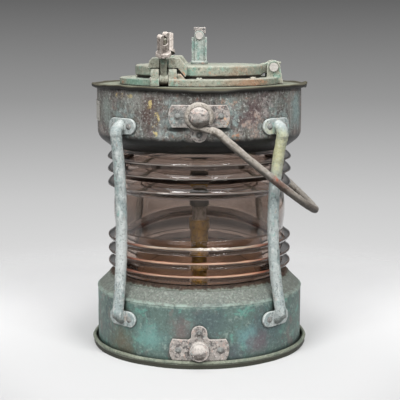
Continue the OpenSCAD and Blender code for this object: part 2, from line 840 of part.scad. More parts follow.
module lid() {
    edge = 1.4;
    recess_r = hatch_r - 4;
    recess_h = lid_h - 5;
    knuckle_r = hinge_pin_d / 2 + hinge_wall - 0.4;
    heel_lift = 31;
    heel = (hinge_rise - 1.2 * gap) * [cos(heel_lift), sin(heel_lift)];
    color("DarkSeaGreen") difference() {
        union() {
            rotate_extrude() polygon([
                [0, z_lid], [lid_r - edge, z_lid], [lid_r, z_lid + edge], [lid_r, z_lid_top - edge],
                [lid_r - edge, z_lid_top], [0, z_lid_top]]);
            clamp_fork();
            mirror([0, 1, 0]) clamp_fork();
            translate([hinge_x, knuckle_w / 2, 0]) rotate([90, 0, 0]) linear_extrude(knuckle_w) {
                translate([0, z_hinge]) circle(r = knuckle_r);
                polygon([[lid_r - hinge_x - 6, z_lid + 2], [0, z_hinge - knuckle_r + 0.5],
                    [knuckle_r - 0.5, z_hinge], [heel[0], z_hinge + heel[1]],
                    [0, z_hinge + knuckle_r - 0.2], [lid_r - hinge_x - 6, z_lid_top - 0.5]]);
            }
        }
        translate([0, 0, z_lid - 1]) cylinder(r = recess_r, h = recess_h + 1);
        translate([hinge_x, 0, z_hinge]) rod_y(hinge_pin_d / 2 + slip, -far / 8, far / 8);
        translate([0, 0, z_lid_top - 10]) cylinder(r = post_stem_r + slip, h = 20);
    }
}

module lid_gasket() {
    color("DimGray") ring(hatch_r + 1.5, hatch_r + 8, z_ring_top + gap, z_lid);
}

// Clamp bolt and nut, built upright about the clamp pin and then leaned out of the fork
module at_clamp(rear) {
    mirror([0, rear ? 1 : 0, 0]) translate([clamp_x, -clamp_y, z_clamp])
        rotate([clamp_lean, 0, 0]) children();
}

module swing_bolt(rear) {
    color("Silver") at_clamp(rear) difference() {
        union() {
            rod_x(bolt_eye_d / 2, -bolt_eye_w / 2, bolt_eye_w / 2);
            cylinder(r = bolt_d / 2, h = bolt_len);
            cylinder(r1 = bolt_eye_w / 2, r2 = bolt_d / 2, h = bolt_taper);
        }
        rod_x(clamp_pin_d / 2 + slip, -far / 8, far / 8);
    }
}

module swing_bolt_front() { swing_bolt(false); }
module swing_bolt_rear() { swing_bolt(true); }

module clamp_pin(rear) {
    half = bolt_slot / 2 + clamp_ear_t;
    color("Silver") mirror([0, rear ? 1 : 0, 0]) translate([clamp_x, -clamp_y, z_clamp])
        rod_x(clamp_pin_d / 2, -half - 1, half + 1);
}

module clamp_pin_front() { clamp_pin(false); }
module clamp_pin_rear() { clamp_pin(true); }

// Wing nut: collar and threaded hub with two upright wings that stand clear of the hub
module wing_nut(rear) {
    wing_in = hub_d / 2 + 0.6;
    tip_in = wing_gap / 2;
    bore_h = bolt_len - nut_seat + 1;
    color("Silver") at_clamp(rear) translate([0, 0, nut_seat]) rotate([0, 0, -nut_turn]) difference() {
        union() {
            cylinder(d1 = nut_base_d, d2 = nut_base_d - 1.2, h = collar_h);
            cylinder(d = hub_d, h = hub_h);
            for (side = [0, 1]) mirror([0, side, 0]) translate([-wing_t / 2, 0, 0]) rotate([90, 0, 90])
                linear_extrude(wing_t) {
                    polygon([[wing_in, collar_h / 2], [nut_base_d / 2 - 0.9, collar_h / 2],
                        [tip_in + 2 * wing_tip_r - 0.2, nut_h - wing_tip_r],
                        [tip_in + 0.2, nut_h - wing_tip_r]]);
                    translate([tip_in + wing_tip_r, nut_h - wing_tip_r]) circle(r = wing_tip_r);
                }
        }
        translate([0, 0, -1]) cylinder(r = bolt_d / 2 + slip, h = bore_h + 1);
    }
}

module wing_nut_front() { wing_nut(false); }
module wing_nut_rear() { wing_nut(true); }

// Forked lifting post with its pin and link
module lifting_post() {
    plate_top = z_post_pin - post_cheek_drop;
    core_top = z_post_pin - post_slot_depth;
    color("Gainsboro") difference() {
        union() {
            translate([0, 0, z_lid_top - post_stem_h]) cylinder(r = post_stem_r, h = post_stem_h + 1);
            translate([0, 0, z_lid_top]) cylinder(d = post_foot_d, h = post_foot_h);
            translate([-post_w / 2, -cheek_out, z_lid_top])
                cube([post_w, 2 * cheek_out, plate_top - z_lid_top]);
            translate([-post_rib_w / 2, -rib_out, z_lid_top])
                cube([post_rib_w, 2 * rib_out, z_post_pin - z_lid_top]);
            translate([0, 0, z_post_pin]) rod_y(post_rib_w / 2 + 0.8, -rib_out, rib_out);
        }
        translate([-far / 2, -cheek_in, core_top]) cube([far, post_slot, far]);
        translate([0, 0, z_post_pin]) rod_y(post_pin_d / 2 + slip, -far / 8, far / 8);
    }
}

module post_pin() {
    color("Silver") translate([0, 0, z_post_pin]) {
        rod_y(post_pin_d / 2, -rib_out - 0.5, rib_out + 2);
        rod_y(post_pin_d, -rib_out - 2.6, -rib_out);
    }
}

module lifting_link() {
    half = cheek_in - gap / 2;
    color("MistyRose") translate([0, 0, z_post_pin]) difference() {
        translate([0, half, 0]) rotate([90, 0, 0]) linear_extrude(2 * half) {
            circle(r = link_r);
            translate([-link_r, 0]) square([2 * link_r, link_h - link_bar_t / 2]);
            translate([-link_bar_in, link_h - link_bar_t]) square([link_bar_in + link_bar_out, link_bar_t]);
            translate([link_bar_out - link_toe_w, link_r / 2]) square([link_toe_w, link_h - link_r]);
        }
        rod_y(post_pin_d / 2 + slip, -far / 8, far / 8);
        translate([link_bar_out - link_toe_w / 2, 0, link_h - link_eye_inset])
            rod_y(link_eye_d / 2, -far / 8, far / 8);
    }
}

// Lamp

module at_flange_screws() {
    for (turn = [0 : 120 : 240]) around(turn)
        translate([flange_d / 2 - flange_screw_inset, 0, z_column]) children();
}

module lamp_flange() {
    color("Goldenrod") difference() {
        union() {
            translate([0, 0, sheet_t]) cylinder(d = flange_d, h = flange_t);
            translate([0, 0, sheet_t]) cylinder(d = column_d + 2 * flange_boss_t, h = flange_boss_h);
        }
        translate([0, 0, z_column]) cylinder(r = column_d / 2 + slip, h = flange_boss_h);
        at_flange_screws() translate([0, 0, -flange_t])
            cylinder(r = flange_screw_d / 2 + slip, h = 2 * flange_t);
    }
}

module flange_screws() {
    color("DarkKhaki") at_flange_screws() {
        translate([0, 0, -flange_t]) cylinder(d = flange_screw_d, h = flange_t + 0.2);
        cylinder(d1 = 2 * flange_screw_d, d2 = 1.5 * flange_screw_d, h = 0.55 * flange_screw_d);
    }
}

module lamp_column() {
    color("Goldenrod") difference() {
        union() {
            translate([0, 0, z_column]) cylinder(d = column_d, h = column_top - z_column);
            translate([0, 0, column_top]) cylinder(d = column_d + 3, h = collar_top - column_top);
        }
        translate([0, 0, z_column - 1]) cylinder(d = column_d - 6, h = far);
    }
}

module lamp_holder() {
    color("DarkGray") difference() {
        union() {
            translate([0, 0, collar_top]) cylinder(d = holder_d, h = holder_top - collar_top);
            translate([0, 0, collar_top - 6]) cylinder(r = column_d / 2 - 3 - slip, h = 6.5);
        }
        translate([0, 0, holder_top - 6]) cylinder(r = 5.6, h = 20);
    }
}

module holder_cap() {
    color("DarkSlateGray") difference() {
        translate([0, 0, holder_top]) cylinder(d = cap_d, h = cap_top - holder_top);
        translate([0, 0, holder_top - 1]) cylinder(r = 5.6, h = 40);
        translate([0, 0, cap_top - 4]) cylinder(r = bulb_d / 2 + 0.4, h = 10);
    }
}

module lamp_bulb() {
    color("White", 0.5) {
        translate([0, 0, holder_top - 6]) cylinder(r = 5.4, h = cap_top - holder_top + 4);
        translate([0, 0, cap_top - 4]) cylinder(d = bulb_d, h = bulb_h + 4 - bulb_d / 2);
        translate([0, 0, cap_top + bulb_h - bulb_d / 2]) sphere(d = bulb_d);
    }
}

// Cable entry

module gland_body() {
    color("Goldenrod") around(gland_angle) translate([0, 0, gland_z]) difference() {
        union() {
            rod_x(gland_flange_d / 2, base_r - 8, base_r + 6);
            rod_x(gland_bore_d / 2 + 3.5, base_r - 8, base_r + gland_len - 4);
        }
        translate([0, 0, -far / 8]) cylinder(r = base_r, h = far / 4);
        rod_x(gland_bore_d / 2, 0, far);
    }
}

module gland_nut() {
    seat = base_r + 8;
    color("Goldenrod") around(gland_angle) translate([0, 0, gland_z]) difference() {
        union() {
            translate([seat, 0, 0]) rotate([0, 90, 0]) cylinder(d = gland_bore_d + 13, h = 8, $fn = 6);
            rod_x(gland_bore_d / 2 + 4.5, seat + 6, base_r + gland_len);
        }
        rod_x(gland_bore_d / 2 + 3.5 + slip, 0, base_r + gland_len - 4);
        rod_x(gland_bore_d / 2, 0, far);
    }
}

base_pan();
base_drum();
lower_gasket();
fresnel_lens();
upper_gasket();
upper_drum();
top_plate();
name_plate();
name_plate_pins();
guard_front_left();
guard_front_right();
guard_rear_left();
guard_rear_right();
guard_rivets();
front_upper_lug();
rear_upper_lug();
front_lower_lug();
rear_lower_lug();
lug_rivets();
front_stud();
rear_stud();
bail();
hatch_ring();
ring_screws();
hinge_pin();
lid();
lid_gasket();
lifting_post();
post_pin();
lifting_link();
clamp_pin_front();
clamp_pin_rear();
swing_bolt_front();
swing_bolt_rear();
wing_nut_front();
wing_nut_rear();
lamp_flange();
flange_screws();
lamp_column();
lamp_holder();
holder_cap();
lamp_bulb();
gland_body();
gland_nut();
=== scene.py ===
"""Ship lantern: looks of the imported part, in its own frame, in metres."""

import bisect
import math

import bpy
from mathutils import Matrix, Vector, noise


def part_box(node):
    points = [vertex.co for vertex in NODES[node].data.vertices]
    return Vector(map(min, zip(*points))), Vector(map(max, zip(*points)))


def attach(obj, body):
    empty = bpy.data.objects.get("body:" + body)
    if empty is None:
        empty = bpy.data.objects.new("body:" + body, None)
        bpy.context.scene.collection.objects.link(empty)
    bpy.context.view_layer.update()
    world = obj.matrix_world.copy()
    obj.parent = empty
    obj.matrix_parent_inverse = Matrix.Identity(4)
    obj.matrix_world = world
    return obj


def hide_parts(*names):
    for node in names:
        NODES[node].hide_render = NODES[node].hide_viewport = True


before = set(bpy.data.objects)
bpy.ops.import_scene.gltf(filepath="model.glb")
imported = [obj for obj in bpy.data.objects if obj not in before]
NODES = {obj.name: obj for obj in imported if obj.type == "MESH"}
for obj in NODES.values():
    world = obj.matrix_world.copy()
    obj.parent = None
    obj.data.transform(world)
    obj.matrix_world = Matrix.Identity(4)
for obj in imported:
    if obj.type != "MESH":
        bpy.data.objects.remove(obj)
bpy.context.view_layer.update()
MM = 0.001

# Camera and picture
IMAGE_PX = 400
FOCAL_PX = 1052.1
SENSOR_MM = 36.0
CAMERA_AT = (0.0008, -1.1637, 0.3381)
CAMERA_PITCH = 8.78

# Sizes of the sheet and glass body, as the part has them
SHEET = 1.6 * MM
BEAD_R = 2.0 * MM
LENS_BORE_R = 85.5 * MM
LENS_WEB = 7.5 * MM
BELT_H = 44 * MM
BELT_RISE = 2.4 * MM
PRISM_ROWS = 3
PRISM_FIRST = 16 * MM
PRISM_STEP = 1.5 * MM
PRISM_TIP = 0.42
TIP_CUT = 0.6 * MM
PRISM_BULGE = 1.3
SHOULDER_H = 15.5 * MM
KNEE_BELOW = 0.8 * MM
KNEE_PROUD = 0.5 * MM
KNEE_IN = 0.6 * MM
KNEE_ABOVE = 0.9 * MM
THROAT_H = 10.4 * MM
DRUM_KNEE_R = 14 * MM
SEAT_R = 98.5 * MM
HATCH_R = 60 * MM
TRAY_HOLE_R = 0.5 * MM

# Rolled beads of the tray and the roof: start and end in degrees, and parts
TRAY_BEAD = (-60, 240, 20)
ROOF_BEAD = (-156, 156, 18)

# Painted highlight bands on the prism tips: half widths, how far they stand out and reach in, and their
# ragged sides
EDGE_HALF_UPPER = 0.6 * MM
EDGE_HALF_LOWER = 0.95 * MM
EDGE_PROUD = 0.03 * MM
EDGE_DEEP = 0.3 * MM
EDGE_RAGGED = 0.5
EDGE_LEAST = 0.3
CHIP_GROWTH = 2

# Steps of the meshes, round the axis and along the outlines
AROUND = 360
EDGE_AROUND = 720
OUTLINE_STEP = 2.2 * MM
TRAY_STEP = 4 * MM
ROOF_PARTS = 24
KNEE_PARTS = 12
FACE_PARTS = 12
BULGE_PARTS = 24
BELT_PARTS = 24
BORE_PARTS = 30
EDGE_PARTS = 4

# Sockets of a Mix node that mixes colours
MIX_A = 6
MIX_B = 7
MIX_RESULT = 2

# Colours, sRGB 0-255
GLASS_TONE = (206, 195, 188)
BULB_TONE = (245, 243, 238)
COPPER = (172, 144, 122)
BROWN = (50, 40, 32)
# Painted shade in the drum's throat, and painted shadow under the roof's rim
THROAT_SHADE_TONE = (14, 14, 12)
OVERHANG_SHADOW_TONE = (16, 15, 12)

# Glass: linear colour that its thickness turns to, how fast it does, and index of refraction
SMOKE = (0.30, 0.18, 0.12, 1)
GLASS_DENSITY = 26.0
GLASS_IOR = 1.3

# Places on the part in mm; those of palms and lugs are mirrored in X and Y
# A spread is how far a mask is stretched along X, Y and Z
UPPER_PALM = (79, 79, 246)
LOWER_PALM = (82, 82, 43)
UPPER_LUG = (28, 112, 257)
# Where a shadow is painted on the drum under the upper lugs
UPPER_LUG_FOOT = (22, 111, 246.8)
LUG_FOOT_SPREAD = (12, 30, 3.0)
UPPER_CHIP = (-36, -95, 174)
LOWER_CHIP = (16, -100, 129)
ALL_ROUND = (1000, 1000, 1)

# Heights, radii and distances to the side in mm, between which one look gives way to another
# Heights of the painted shade in the drum's throat and of the painted shadow under the roof's rim
THROAT_SHADE_HEIGHTS = (243, 237)
OVERHANG_SHADOW_HEIGHTS = (285.5, 290)
# Radii of the painted shade along the roof's rim
RIM_SHADE = (110, 119)
TRAY_INSIDE = (112, 111)
# Painted highlight bands: paler below the first heights, warm painted reflection below the next, red-brown
# painted reflection and then painted shade towards the sides
LOWER_ROWS = (152, 148)
WARM_REFLECTION_ROWS = (124, 120)
SIDE_REFLECTION = (44, 72)
SIDE_SHADE = (80, 92)

# Waves in the walls of the drums and the lip of the tray
WALL_SWELL = 0.35 * MM
WALL_WAVE = 30 * MM
LIP_FROM = 0.9
LIP_SWELL = 0.5 * MM
LIP_LIFT = 0.9 * MM

# Dents of the roof's rim: height or reach in mm, angle and half width in degrees
ROOF_SAG = [(-2.2, 4, 34), (0.7, -48, 22), (0.6, 52, 20), (1.2, 91, 7), (-1.0, 84, 5), (0.5, -88, 9)]
ROOF_FLARE = [(1.2, 91, 6), (0.9, -92, 12)]
ROOF_FIRM_R = 105 * MM

# Chips of the first prism's edge: angle and half width in degrees
UPPER_CHIP_ARC = (-21, 8)
LOWER_CHIP_ARC = (8, 16)

# Backdrop: elevations in degrees, stops between them as (share of the way, grey), and ambient light
BACKDROP_FROM = -14
BACKDROP_TO = 30
BACKDROP_STOPS = [
    (0.0, 219), (0.048, 219), (0.123, 202), (0.25, 150), (0.373, 101), (0.45, 101), (0.8, 215)]
AMBIENT = (0.13, 0.13, 0.135, 1)

# Floor: reach in metres, and places in mm between which its tones change
FLOOR_REACH = 1.1
FLOOR_RINGS = 24
FLOOR_SPOKES = 96
FLOOR_FADE = (640, 240)
FLOOR_DEPTH = (300, -280)
FLOOR_FRONT = (-40, -160)
FLOOR_CORNER = (170, 400)
FLOOR_CENTRE = (0, 60, 0)
# Tones of the floor: far, and painted shade at the front and at its corners
FLOOR_FAR_TONE = (249, 249, 249)
FLOOR_NEAR_TONE = (200, 200, 200)
FLOOR_CORNER_TONE = (170, 170, 170)

# Softboxes: azimuth and elevation in degrees, distance, width and height in metres, watts
LIGHTS = {
    "key_left": (-28, 40, 1.6, 0.5, 0.6, 15),
    "key_right": (30, 40, 1.6, 0.5, 0.6, 15),
    "fill": (0, 14, 1.8, 0.9, 0.5, 6),
    "top": (0, 80, 1.5, 1.6, 1.6, 16)}
LIGHT_AIM = (0, 0, 0.17)

# Patches of colour: size in mm, stretch along Z, seed, start and full of the noise, amount, colour
DRUM_LAYERS = [
    (18, 1.3, 2, 0.47, 0.57, 0.85, (82, 72, 70)),
    (14, 1.2, 3, 0.54, 0.63, 0.65, (102, 116, 110)),
    (30, 1.0, 4, 0.52, 0.61, 0.6, (144, 134, 128)),
    (6, 1.5, 5, 0.54, 0.64, 0.6, (128, 116, 116)),
    (5, 6.0, 6, 0.53, 0.64, 0.55, (154, 156, 152)),
    (4, 5.0, 7, 0.53, 0.65, 0.65, (54, 50, 47)),
    (7, 1.2, 9, 0.60, 0.67, 0.6, (156, 112, 94))]
BASE_LAYERS = [
    (24, 1.0, 12, 0.49, 0.59, 0.8, (80, 94, 92)),
    (16, 1.0, 13, 0.54, 0.63, 0.75, (96, 146, 134)),
    (20, 1.0, 14, 0.53, 0.62, 0.7, (110, 100, 97)),
    (7, 1.0, 15, 0.55, 0.64, 0.55, (142, 158, 150)),
    (4, 4.0, 16, 0.55, 0.66, 0.55, (66, 78, 76))]
SHOULDER_LAYERS = [
    (12, 1.0, 17, 0.50, 0.62, 0.6, (98, 108, 98)),
    (2.6, 1.0, 18, 0.51, 0.61, 0.6, (150, 156, 148)),
    (2.2, 1.0, 19, 0.51, 0.61, 0.6, (84, 92, 84))]
ROOF_LAYERS = [
    (16, 1.0, 22, 0.50, 0.62, 0.6, (108, 118, 102)),
    (8, 1.0, 23, 0.55, 0.65, 0.6, (162, 158, 132)),
    (10, 1.0, 24, 0.59, 0.67, 0.5, (150, 112, 90))]
TRAY_LAYERS = [
    (18, 1.0, 26, 0.50, 0.60, 0.6, (100, 112, 100)),
    (9, 1.0, 27, 0.54, 0.64, 0.6, (156, 160, 144)),
    (6, 1.0, 28, 0.58, 0.66, 0.55, (80, 86, 72))]
SAGE_LAYERS = [
    (12, 1.0, 32, 0.50, 0.62, 0.6, (128, 144, 130)),
    (7, 1.0, 33, 0.54, 0.64, 0.6, (172, 164, 146)),
    (12, 1.0, 30, 0.52, 0.62, 0.7, (112, 150, 136)),
    (9, 1.0, 34, 0.58, 0.66, 0.6, (170, 126, 100)),
    (4, 1.0, 35, 0.56, 0.66, 0.6, (98, 100, 84))]
POST_LAYERS = [
    (10, 2.0, 29, 0.52, 0.62, 0.7, (110, 146, 138)),
    (5, 1.0, 31, 0.55, 0.65, 0.6, (178, 182, 176)),
    (4, 1.0, 25, 0.57, 0.66, 0.6, (98, 112, 104))]
PALE_LAYERS = [
    (9, 1.0, 36, 0.48, 0.58, 0.6, (130, 128, 124)),
    (5, 1.0, 37, 0.49, 0.58, 0.9, (82, 79, 78)),
    (6, 1.0, 38, 0.56, 0.64, 0.6, (184, 156, 144)),
    (8, 1.0, 39, 0.57, 0.67, 0.5, (140, 164, 162))]
NUT_LAYERS = [
    (6, 1.5, 55, 0.52, 0.62, 0.6, (150, 138, 130)),
    (4, 3.0, 56, 0.56, 0.65, 0.7, (96, 80, 70)),
    (5, 1.0, 58, 0.57, 0.66, 0.5, (196, 172, 160))]
GUARD_LAYERS = [
    (14, 2.0, 42, 0.48, 0.58, 0.6, (130, 146, 146)),
    (5, 3.0, 43, 0.53, 0.62, 0.7, (196, 200, 197)),
    (4, 2.5, 44, 0.55, 0.63, 0.7, (98, 108, 106)),
    (8, 1.5, 46, 0.57, 0.66, 0.6, (126, 170, 162)),
    (6, 2.0, 48, 0.60, 0.67, 0.6, (176, 146, 128))]
ROD_LAYERS = [
    (10, 1.0, 52, 0.50, 0.62, 0.6, (116, 108, 98)),
    (5, 1.0, 53, 0.54, 0.64, 0.6, (184, 178, 170)),
    (4, 1.0, 54, 0.58, 0.66, 0.7, (80, 68, 58))]
GLAND_LAYERS = [
    (7, 1.0, 72, 0.50, 0.60, 0.7, (96, 84, 58)),
    (4, 1.0, 73, 0.55, 0.64, 0.7, (104, 136, 122)),
    (5, 1.0, 74, 0.56, 0.66, 0.6, (160, 142, 96))]
PLATE_LAYERS = [
    (5, 1.0, 62, 0.50, 0.60, 0.7, (96, 90, 84)),
    (3, 1.0, 63, 0.58, 0.66, 0.7, (130, 96, 76))]
DARK_LAYERS = [(8, 1.0, 64, 0.50, 0.62, 0.6, (52, 52, 46))]
PUTTY_LAYERS = [
    (7, 1.0, 68, 0.48, 0.60, 0.7, (38, 31, 26)),
    (4, 1.0, 69, 0.56, 0.66, 0.6, (92, 68, 54))]

# Flecks of old paint on the drum: centre and reach in mm, spread
DRUM_FLECKS = [
    ((-49, -101, 268), 10, (0.6, 3, 1.3)),
    ((-44, -103, 255), 11, (0.7, 3, 1.3)),
    ((-44, -103, 242), 7, (0.8, 3, 0.8)),
    ((-82, -76, 279), 9, (1, 2, 0.6)),
    ((-72, -86, 279), 8, (1, 2, 0.5))]

# Spots and clouds of colour: centre and reach in mm, colour
DRUM_SPOTS = [
    ((30, -108, 277), 14, (176, 142, 122)),
    ((38, -106, 238), 9, (190, 126, 84)),
    ((56, -97, 250), 24, (166, 146, 134)),
    ((66, -90, 272), 22, (158, 150, 146)),
    ((-60, -94, 250), 20, (84, 64, 58))]
DRUM_HAZE = [
    ((-48, -101, 264), 34, (80, 62, 57)),
    ((58, -96, 262), 36, (92, 76, 76)),
    ((104, -42, 262), 34, (130, 150, 148)),
    ((-98, -54, 262), 30, (128, 138, 132)),
    ((-8, -112, 281), 26, (72, 70, 66)),
    ((-66, -90, 275), 24, (136, 138, 132))]
BASE_SPOTS = [
    ((-52, -101, 30), 34, (104, 144, 138)),
    ((72, -88, 38), 54, (74, 86, 90)),
    ((50, -102, 30), 26, (102, 140, 140)),
    ((62, -96, 22), 28, (98, 88, 93)),
    ((-18, -113, 40), 26, (108, 92, 91)),
    ((-84, -78, 14), 50, (98, 92, 74)),
    ((8, -114, 46), 42, (72, 86, 88)),
    ((36, -108, 10), 28, (78, 84, 90))]


def linear(colour):
    """sRGB 0-255 to the linear colour that a shader takes."""
    parts = [c / 255 for c in colour]
    return [c / 12.92 if c <= 0.04045 else ((c + 0.055) / 1.055) ** 2.4 for c in parts] + [1.0]


# Node materials


class Paint:
    """A Principled material with a few short words for the nodes that feed it."""

    def __init__(self, name, roughness=0.6, specular=0.4, metallic=0.0):
        self.mat = bpy.data.materials.new(name)
        self.mat.use_nodes = True
        self.tree = self.mat.node_tree
        self.shader = self.tree.nodes["Principled BSDF"]
        self.shader.inputs["Roughness"].default_value = roughness
        self.shader.inputs["Specular IOR Level"].default_value = specular
        self.shader.inputs["Metallic"].default_value = metallic
        coords = self.tree.nodes.new("ShaderNodeTexCoord")
        self.place = self.vector("SCALE", coords.outputs["Object"], scale=1 / MM)
        self.normal = coords.outputs["Normal"]

    def link(self, value, socket):
        """Feeds a socket from a node, or with a constant; colours are sRGB."""
        if isinstance(value, bpy.types.NodeSocket):
            self.tree.links.new(value, socket)
        elif socket.type == "RGBA":
            socket.default_value = linear(value)
        else:
            socket.default_value = value

    def vector(self, operation, a, b=None, scale=None):
        """Vector maths; the result is a number for lengths and dot products."""
        n = self.tree.nodes.new("ShaderNodeVectorMath")
        n.operation = operation
        self.link(a, n.inputs[0])
        if b is not None:
            self.link(b, n.inputs[1])
        if scale is not None:
            n.inputs["Scale"].default_value = scale
        return n.outputs["Value"] if operation in ("LENGTH", "DOT_PRODUCT") else n.outputs["Vector"]

    def math(self, operation, a, b=0.0):
        """Maths on numbers."""
        n = self.tree.nodes.new("ShaderNodeMath")
        n.operation = operation
        self.link(a, n.inputs[0])
        self.link(b, n.inputs[1])
        return n.outputs[0]

    def axis(self, name, place=None):
        """One coordinate of a vector, by default of the place in mm."""
        n = self.tree.nodes.new("ShaderNodeSeparateXYZ")
        self.link(place or self.place, n.inputs[0])
        return n.outputs[name]

    def ramp(self, value, low, high):
        """0 at low, 1 at high, smooth between; low may be the larger."""
        n = self.tree.nodes.new("ShaderNodeMapRange")
        n.interpolation_type = "SMOOTHSTEP"
        self.link(value, n.inputs["Value"])
        n.inputs["From Min"].default_value = low
        n.inputs["From Max"].default_value = high
        return n.outputs["Result"]

    def noise(self, size, stretch=(1, 1, 1), detail=5, rough=0.6, seed=0, warp=0.0):
        """Fractal noise, size in mm."""
        moved = self.vector("ADD", self.place, (37.0 * seed, 91.0 * seed, 53.0 * seed))
        scaled = self.vector("DIVIDE", moved, [size * s for s in stretch])
        n = self.tree.nodes.new("ShaderNodeTexNoise")
        n.inputs["Scale"].default_value = 1.0
        n.inputs["Detail"].default_value = detail
        n.inputs["Roughness"].default_value = rough
        n.inputs["Distortion"].default_value = warp
        self.link(scaled, n.inputs["Vector"])
        return n.outputs["Fac"]

    def cells(self, size, seed=0):
        """Distance to the nearest of scattered points, in cells of that size in mm."""
        moved = self.vector("ADD", self.place, (17.0 * seed, 29.0 * seed, 43.0 * seed))
        n = self.tree.nodes.new("ShaderNodeTexVoronoi")
        n.inputs["Scale"].default_value = 1 / size
        self.link(moved, n.inputs["Vector"])
        return n.outputs["Distance"]

    def near(self, centre, inner, outer, folded=False, spread=(1, 1, 1)):
        """1 within inner mm of a point, 0 beyond outer; folded mirrors it in X and Y."""
        place = self.vector("ABSOLUTE", self.place) if folded else self.place
        gap = self.vector("DIVIDE", self.vector("SUBTRACT", place, centre), spread)
        return self.ramp(self.vector("LENGTH", gap), outer, inner)

    def mix(self, fac, a, b):
        """Colour a where the factor is 0, b where it is 1."""
        n = self.tree.nodes.new("ShaderNodeMix")
        n.data_type = "RGBA"
        self.link(fac, n.inputs["Factor"])
        self.link(a, n.inputs[MIX_A])
        self.link(b, n.inputs[MIX_B])
        return n.outputs[MIX_RESULT]

    def over(self, colour, tone, mask, amount=None):
        """A tone laid over a colour where the mask is 1, by an amount that may be a mask too."""
        if amount is not None:
            mask = self.math("MULTIPLY", mask, amount)
        return self.mix(mask, colour, tone)

    def radius(self):
        """Distance from the axis of the lantern in mm."""
        return self.vector("LENGTH", self.vector("MULTIPLY", self.place, (1, 1, 0)))

    def level(self, height, inner, outer):
        """1 within inner mm above or below a height, 0 beyond outer."""
        return self.near((0, 0, height), inner, outer, spread=ALL_ROUND)

    def facing(self, low, high):
        """0 to 1 as a face turns from low to high, where 1 faces up and -1 down."""
        return self.ramp(self.axis("Z", self.normal), low, high)

    def inside(self):
        """1 on faces that look at the axis of the lantern."""
        flat = self.vector("NORMALIZE", self.vector("MULTIPLY", self.place, (1, 1, 0)))
        return self.ramp(self.vector("DOT_PRODUCT", flat, self.normal), -0.05, -0.25)

    def crevice(self, reach):
        """1 in corners closer than reach mm, 0 on open faces."""
        n = self.tree.nodes.new("ShaderNodeAmbientOcclusion")
        n.samples = 6
        n.inputs["Distance"].default_value = reach * MM
        return self.ramp(n.outputs["AO"], 0.85, 0.25)

    def worn(self, low, high):
        """1 along convex edges."""
        n = self.tree.nodes.new("ShaderNodeNewGeometry")
        return self.ramp(n.outputs["Pointiness"], low, high)

    def bump(self, height, depth):
        """Relief of that depth in mm, on top of any the surface has."""
        n = self.tree.nodes.new("ShaderNodeBump")
        n.inputs["Strength"].default_value = 1.0
        n.inputs["Distance"].default_value = depth * MM
        self.link(height, n.inputs["Height"])
        if self.shader.inputs["Normal"].is_linked:
            self.link(self.shader.inputs["Normal"].links[0].from_socket, n.inputs["Normal"])
        self.link(n.outputs["Normal"], self.shader.inputs["Normal"])

    def finish(self, colour, roughness=None):
        """Sets the colour, and the roughness where it varies, and returns the material."""
        self.link(colour, self.shader.inputs["Base Color"])
        if roughness is not None:
            self.link(roughness, self.shader.inputs["Roughness"])
        return self.mat


def layered(p, ground, layers):
    """Patches of colour over a ground: (size, stretch along Z, seed, from, full, amount, colour)."""
    colour = ground
    for size, tall, seed, start, full, amount, tone in layers:
        cloud = p.noise(size, stretch=(1, 1, tall), detail=7, rough=0.65, seed=seed, warp=0.4)
        colour = p.over(colour, tone, p.ramp(cloud, start, full), amount)
    return colour


def pitted(p, depth):
    """Grain and pits of weathered castings and sheet."""
    grain = p.noise(2.0, detail=6, rough=0.7, seed=21)
    pits = p.ramp(p.cells(3.4, seed=3), 0.26, 0.08)
    p.bump(p.math("SUBTRACT", grain, p.math("MULTIPLY", pits, 0.6)), depth)
    return grain, pits


def speckled(p, colour, light, dark, amount, size=2.4):
    """Fine pale and dark specks over a colour."""
    fine = p.noise(size, detail=4, rough=0.75, seed=11)
    colour = p.over(colour, light, p.ramp(fine, 0.54, 0.66), amount)
    return p.over(colour, dark, p.ramp(fine, 0.46, 0.34), amount)


def rough_from(p, grain, least):
    """Roughness that follows the grain."""
    return p.math("ADD", p.math("MULTIPLY", grain, 0.3), least)


def patch(p, centre, inner, outer, size, seed, spread=(1, 1, 1), tall=1.0):
    """A ragged patch about a point."""
    cloud = p.noise(size, stretch=(1, 1, tall), detail=9, rough=0.78, seed=seed)
    area = p.near(centre, inner, outer, spread=spread)
    return p.ramp(p.math("ADD", cloud, p.math("MULTIPLY", area, 0.3)), 0.81, 0.88)


def haze(p, centre, outer, seed):
    """A soft cloud of colour about a point."""
    cloud = p.noise(outer / 2, detail=8, rough=0.72, seed=seed)
    area = p.near(centre, 0, outer)
    return p.ramp(p.math("ADD", cloud, p.math("MULTIPLY", area, 0.5)), 0.6, 1.05)


def casting(name, ground, layers, edge, grime_and_shade, under=(62, 54, 46), spots=(), hazes=(), specks=0.45):
    """Weathered casting: patches, spots at given places, pale worn edges, grime in pits; dust and painted
    light on its tops, painted shade on undersides and in corners.
    """
    p = Paint(name, specular=0.35)
    colour = layered(p, ground, layers)
    for centre, outer, tone in hazes:
        colour = p.over(colour, tone, haze(p, centre, outer, 59), 0.9)
    for centre, inner, outer, tone in spots:
        colour = p.over(colour, tone, patch(p, centre, inner, outer, 6, 31), 0.7)
    grain, pits = pitted(p, 0.35)
    colour = speckled(p, colour, edge, under, specks)
    colour = p.over(colour, grime_and_shade, pits, 0.55)
    # Dust and painted light on faces turned up, painted shade on faces turned down
    colour = p.over(colour, edge, p.facing(0.2, 0.85), 0.3)
    colour = p.over(colour, under, p.facing(0.05, -0.6), 0.8)
    colour = p.over(colour, edge, p.worn(0.51, 0.56), 0.7)
    # Grime and painted shade in corners
    colour = p.over(colour, grime_and_shade, p.crevice(5))
    return p.finish(colour, rough_from(p, grain, 0.52))


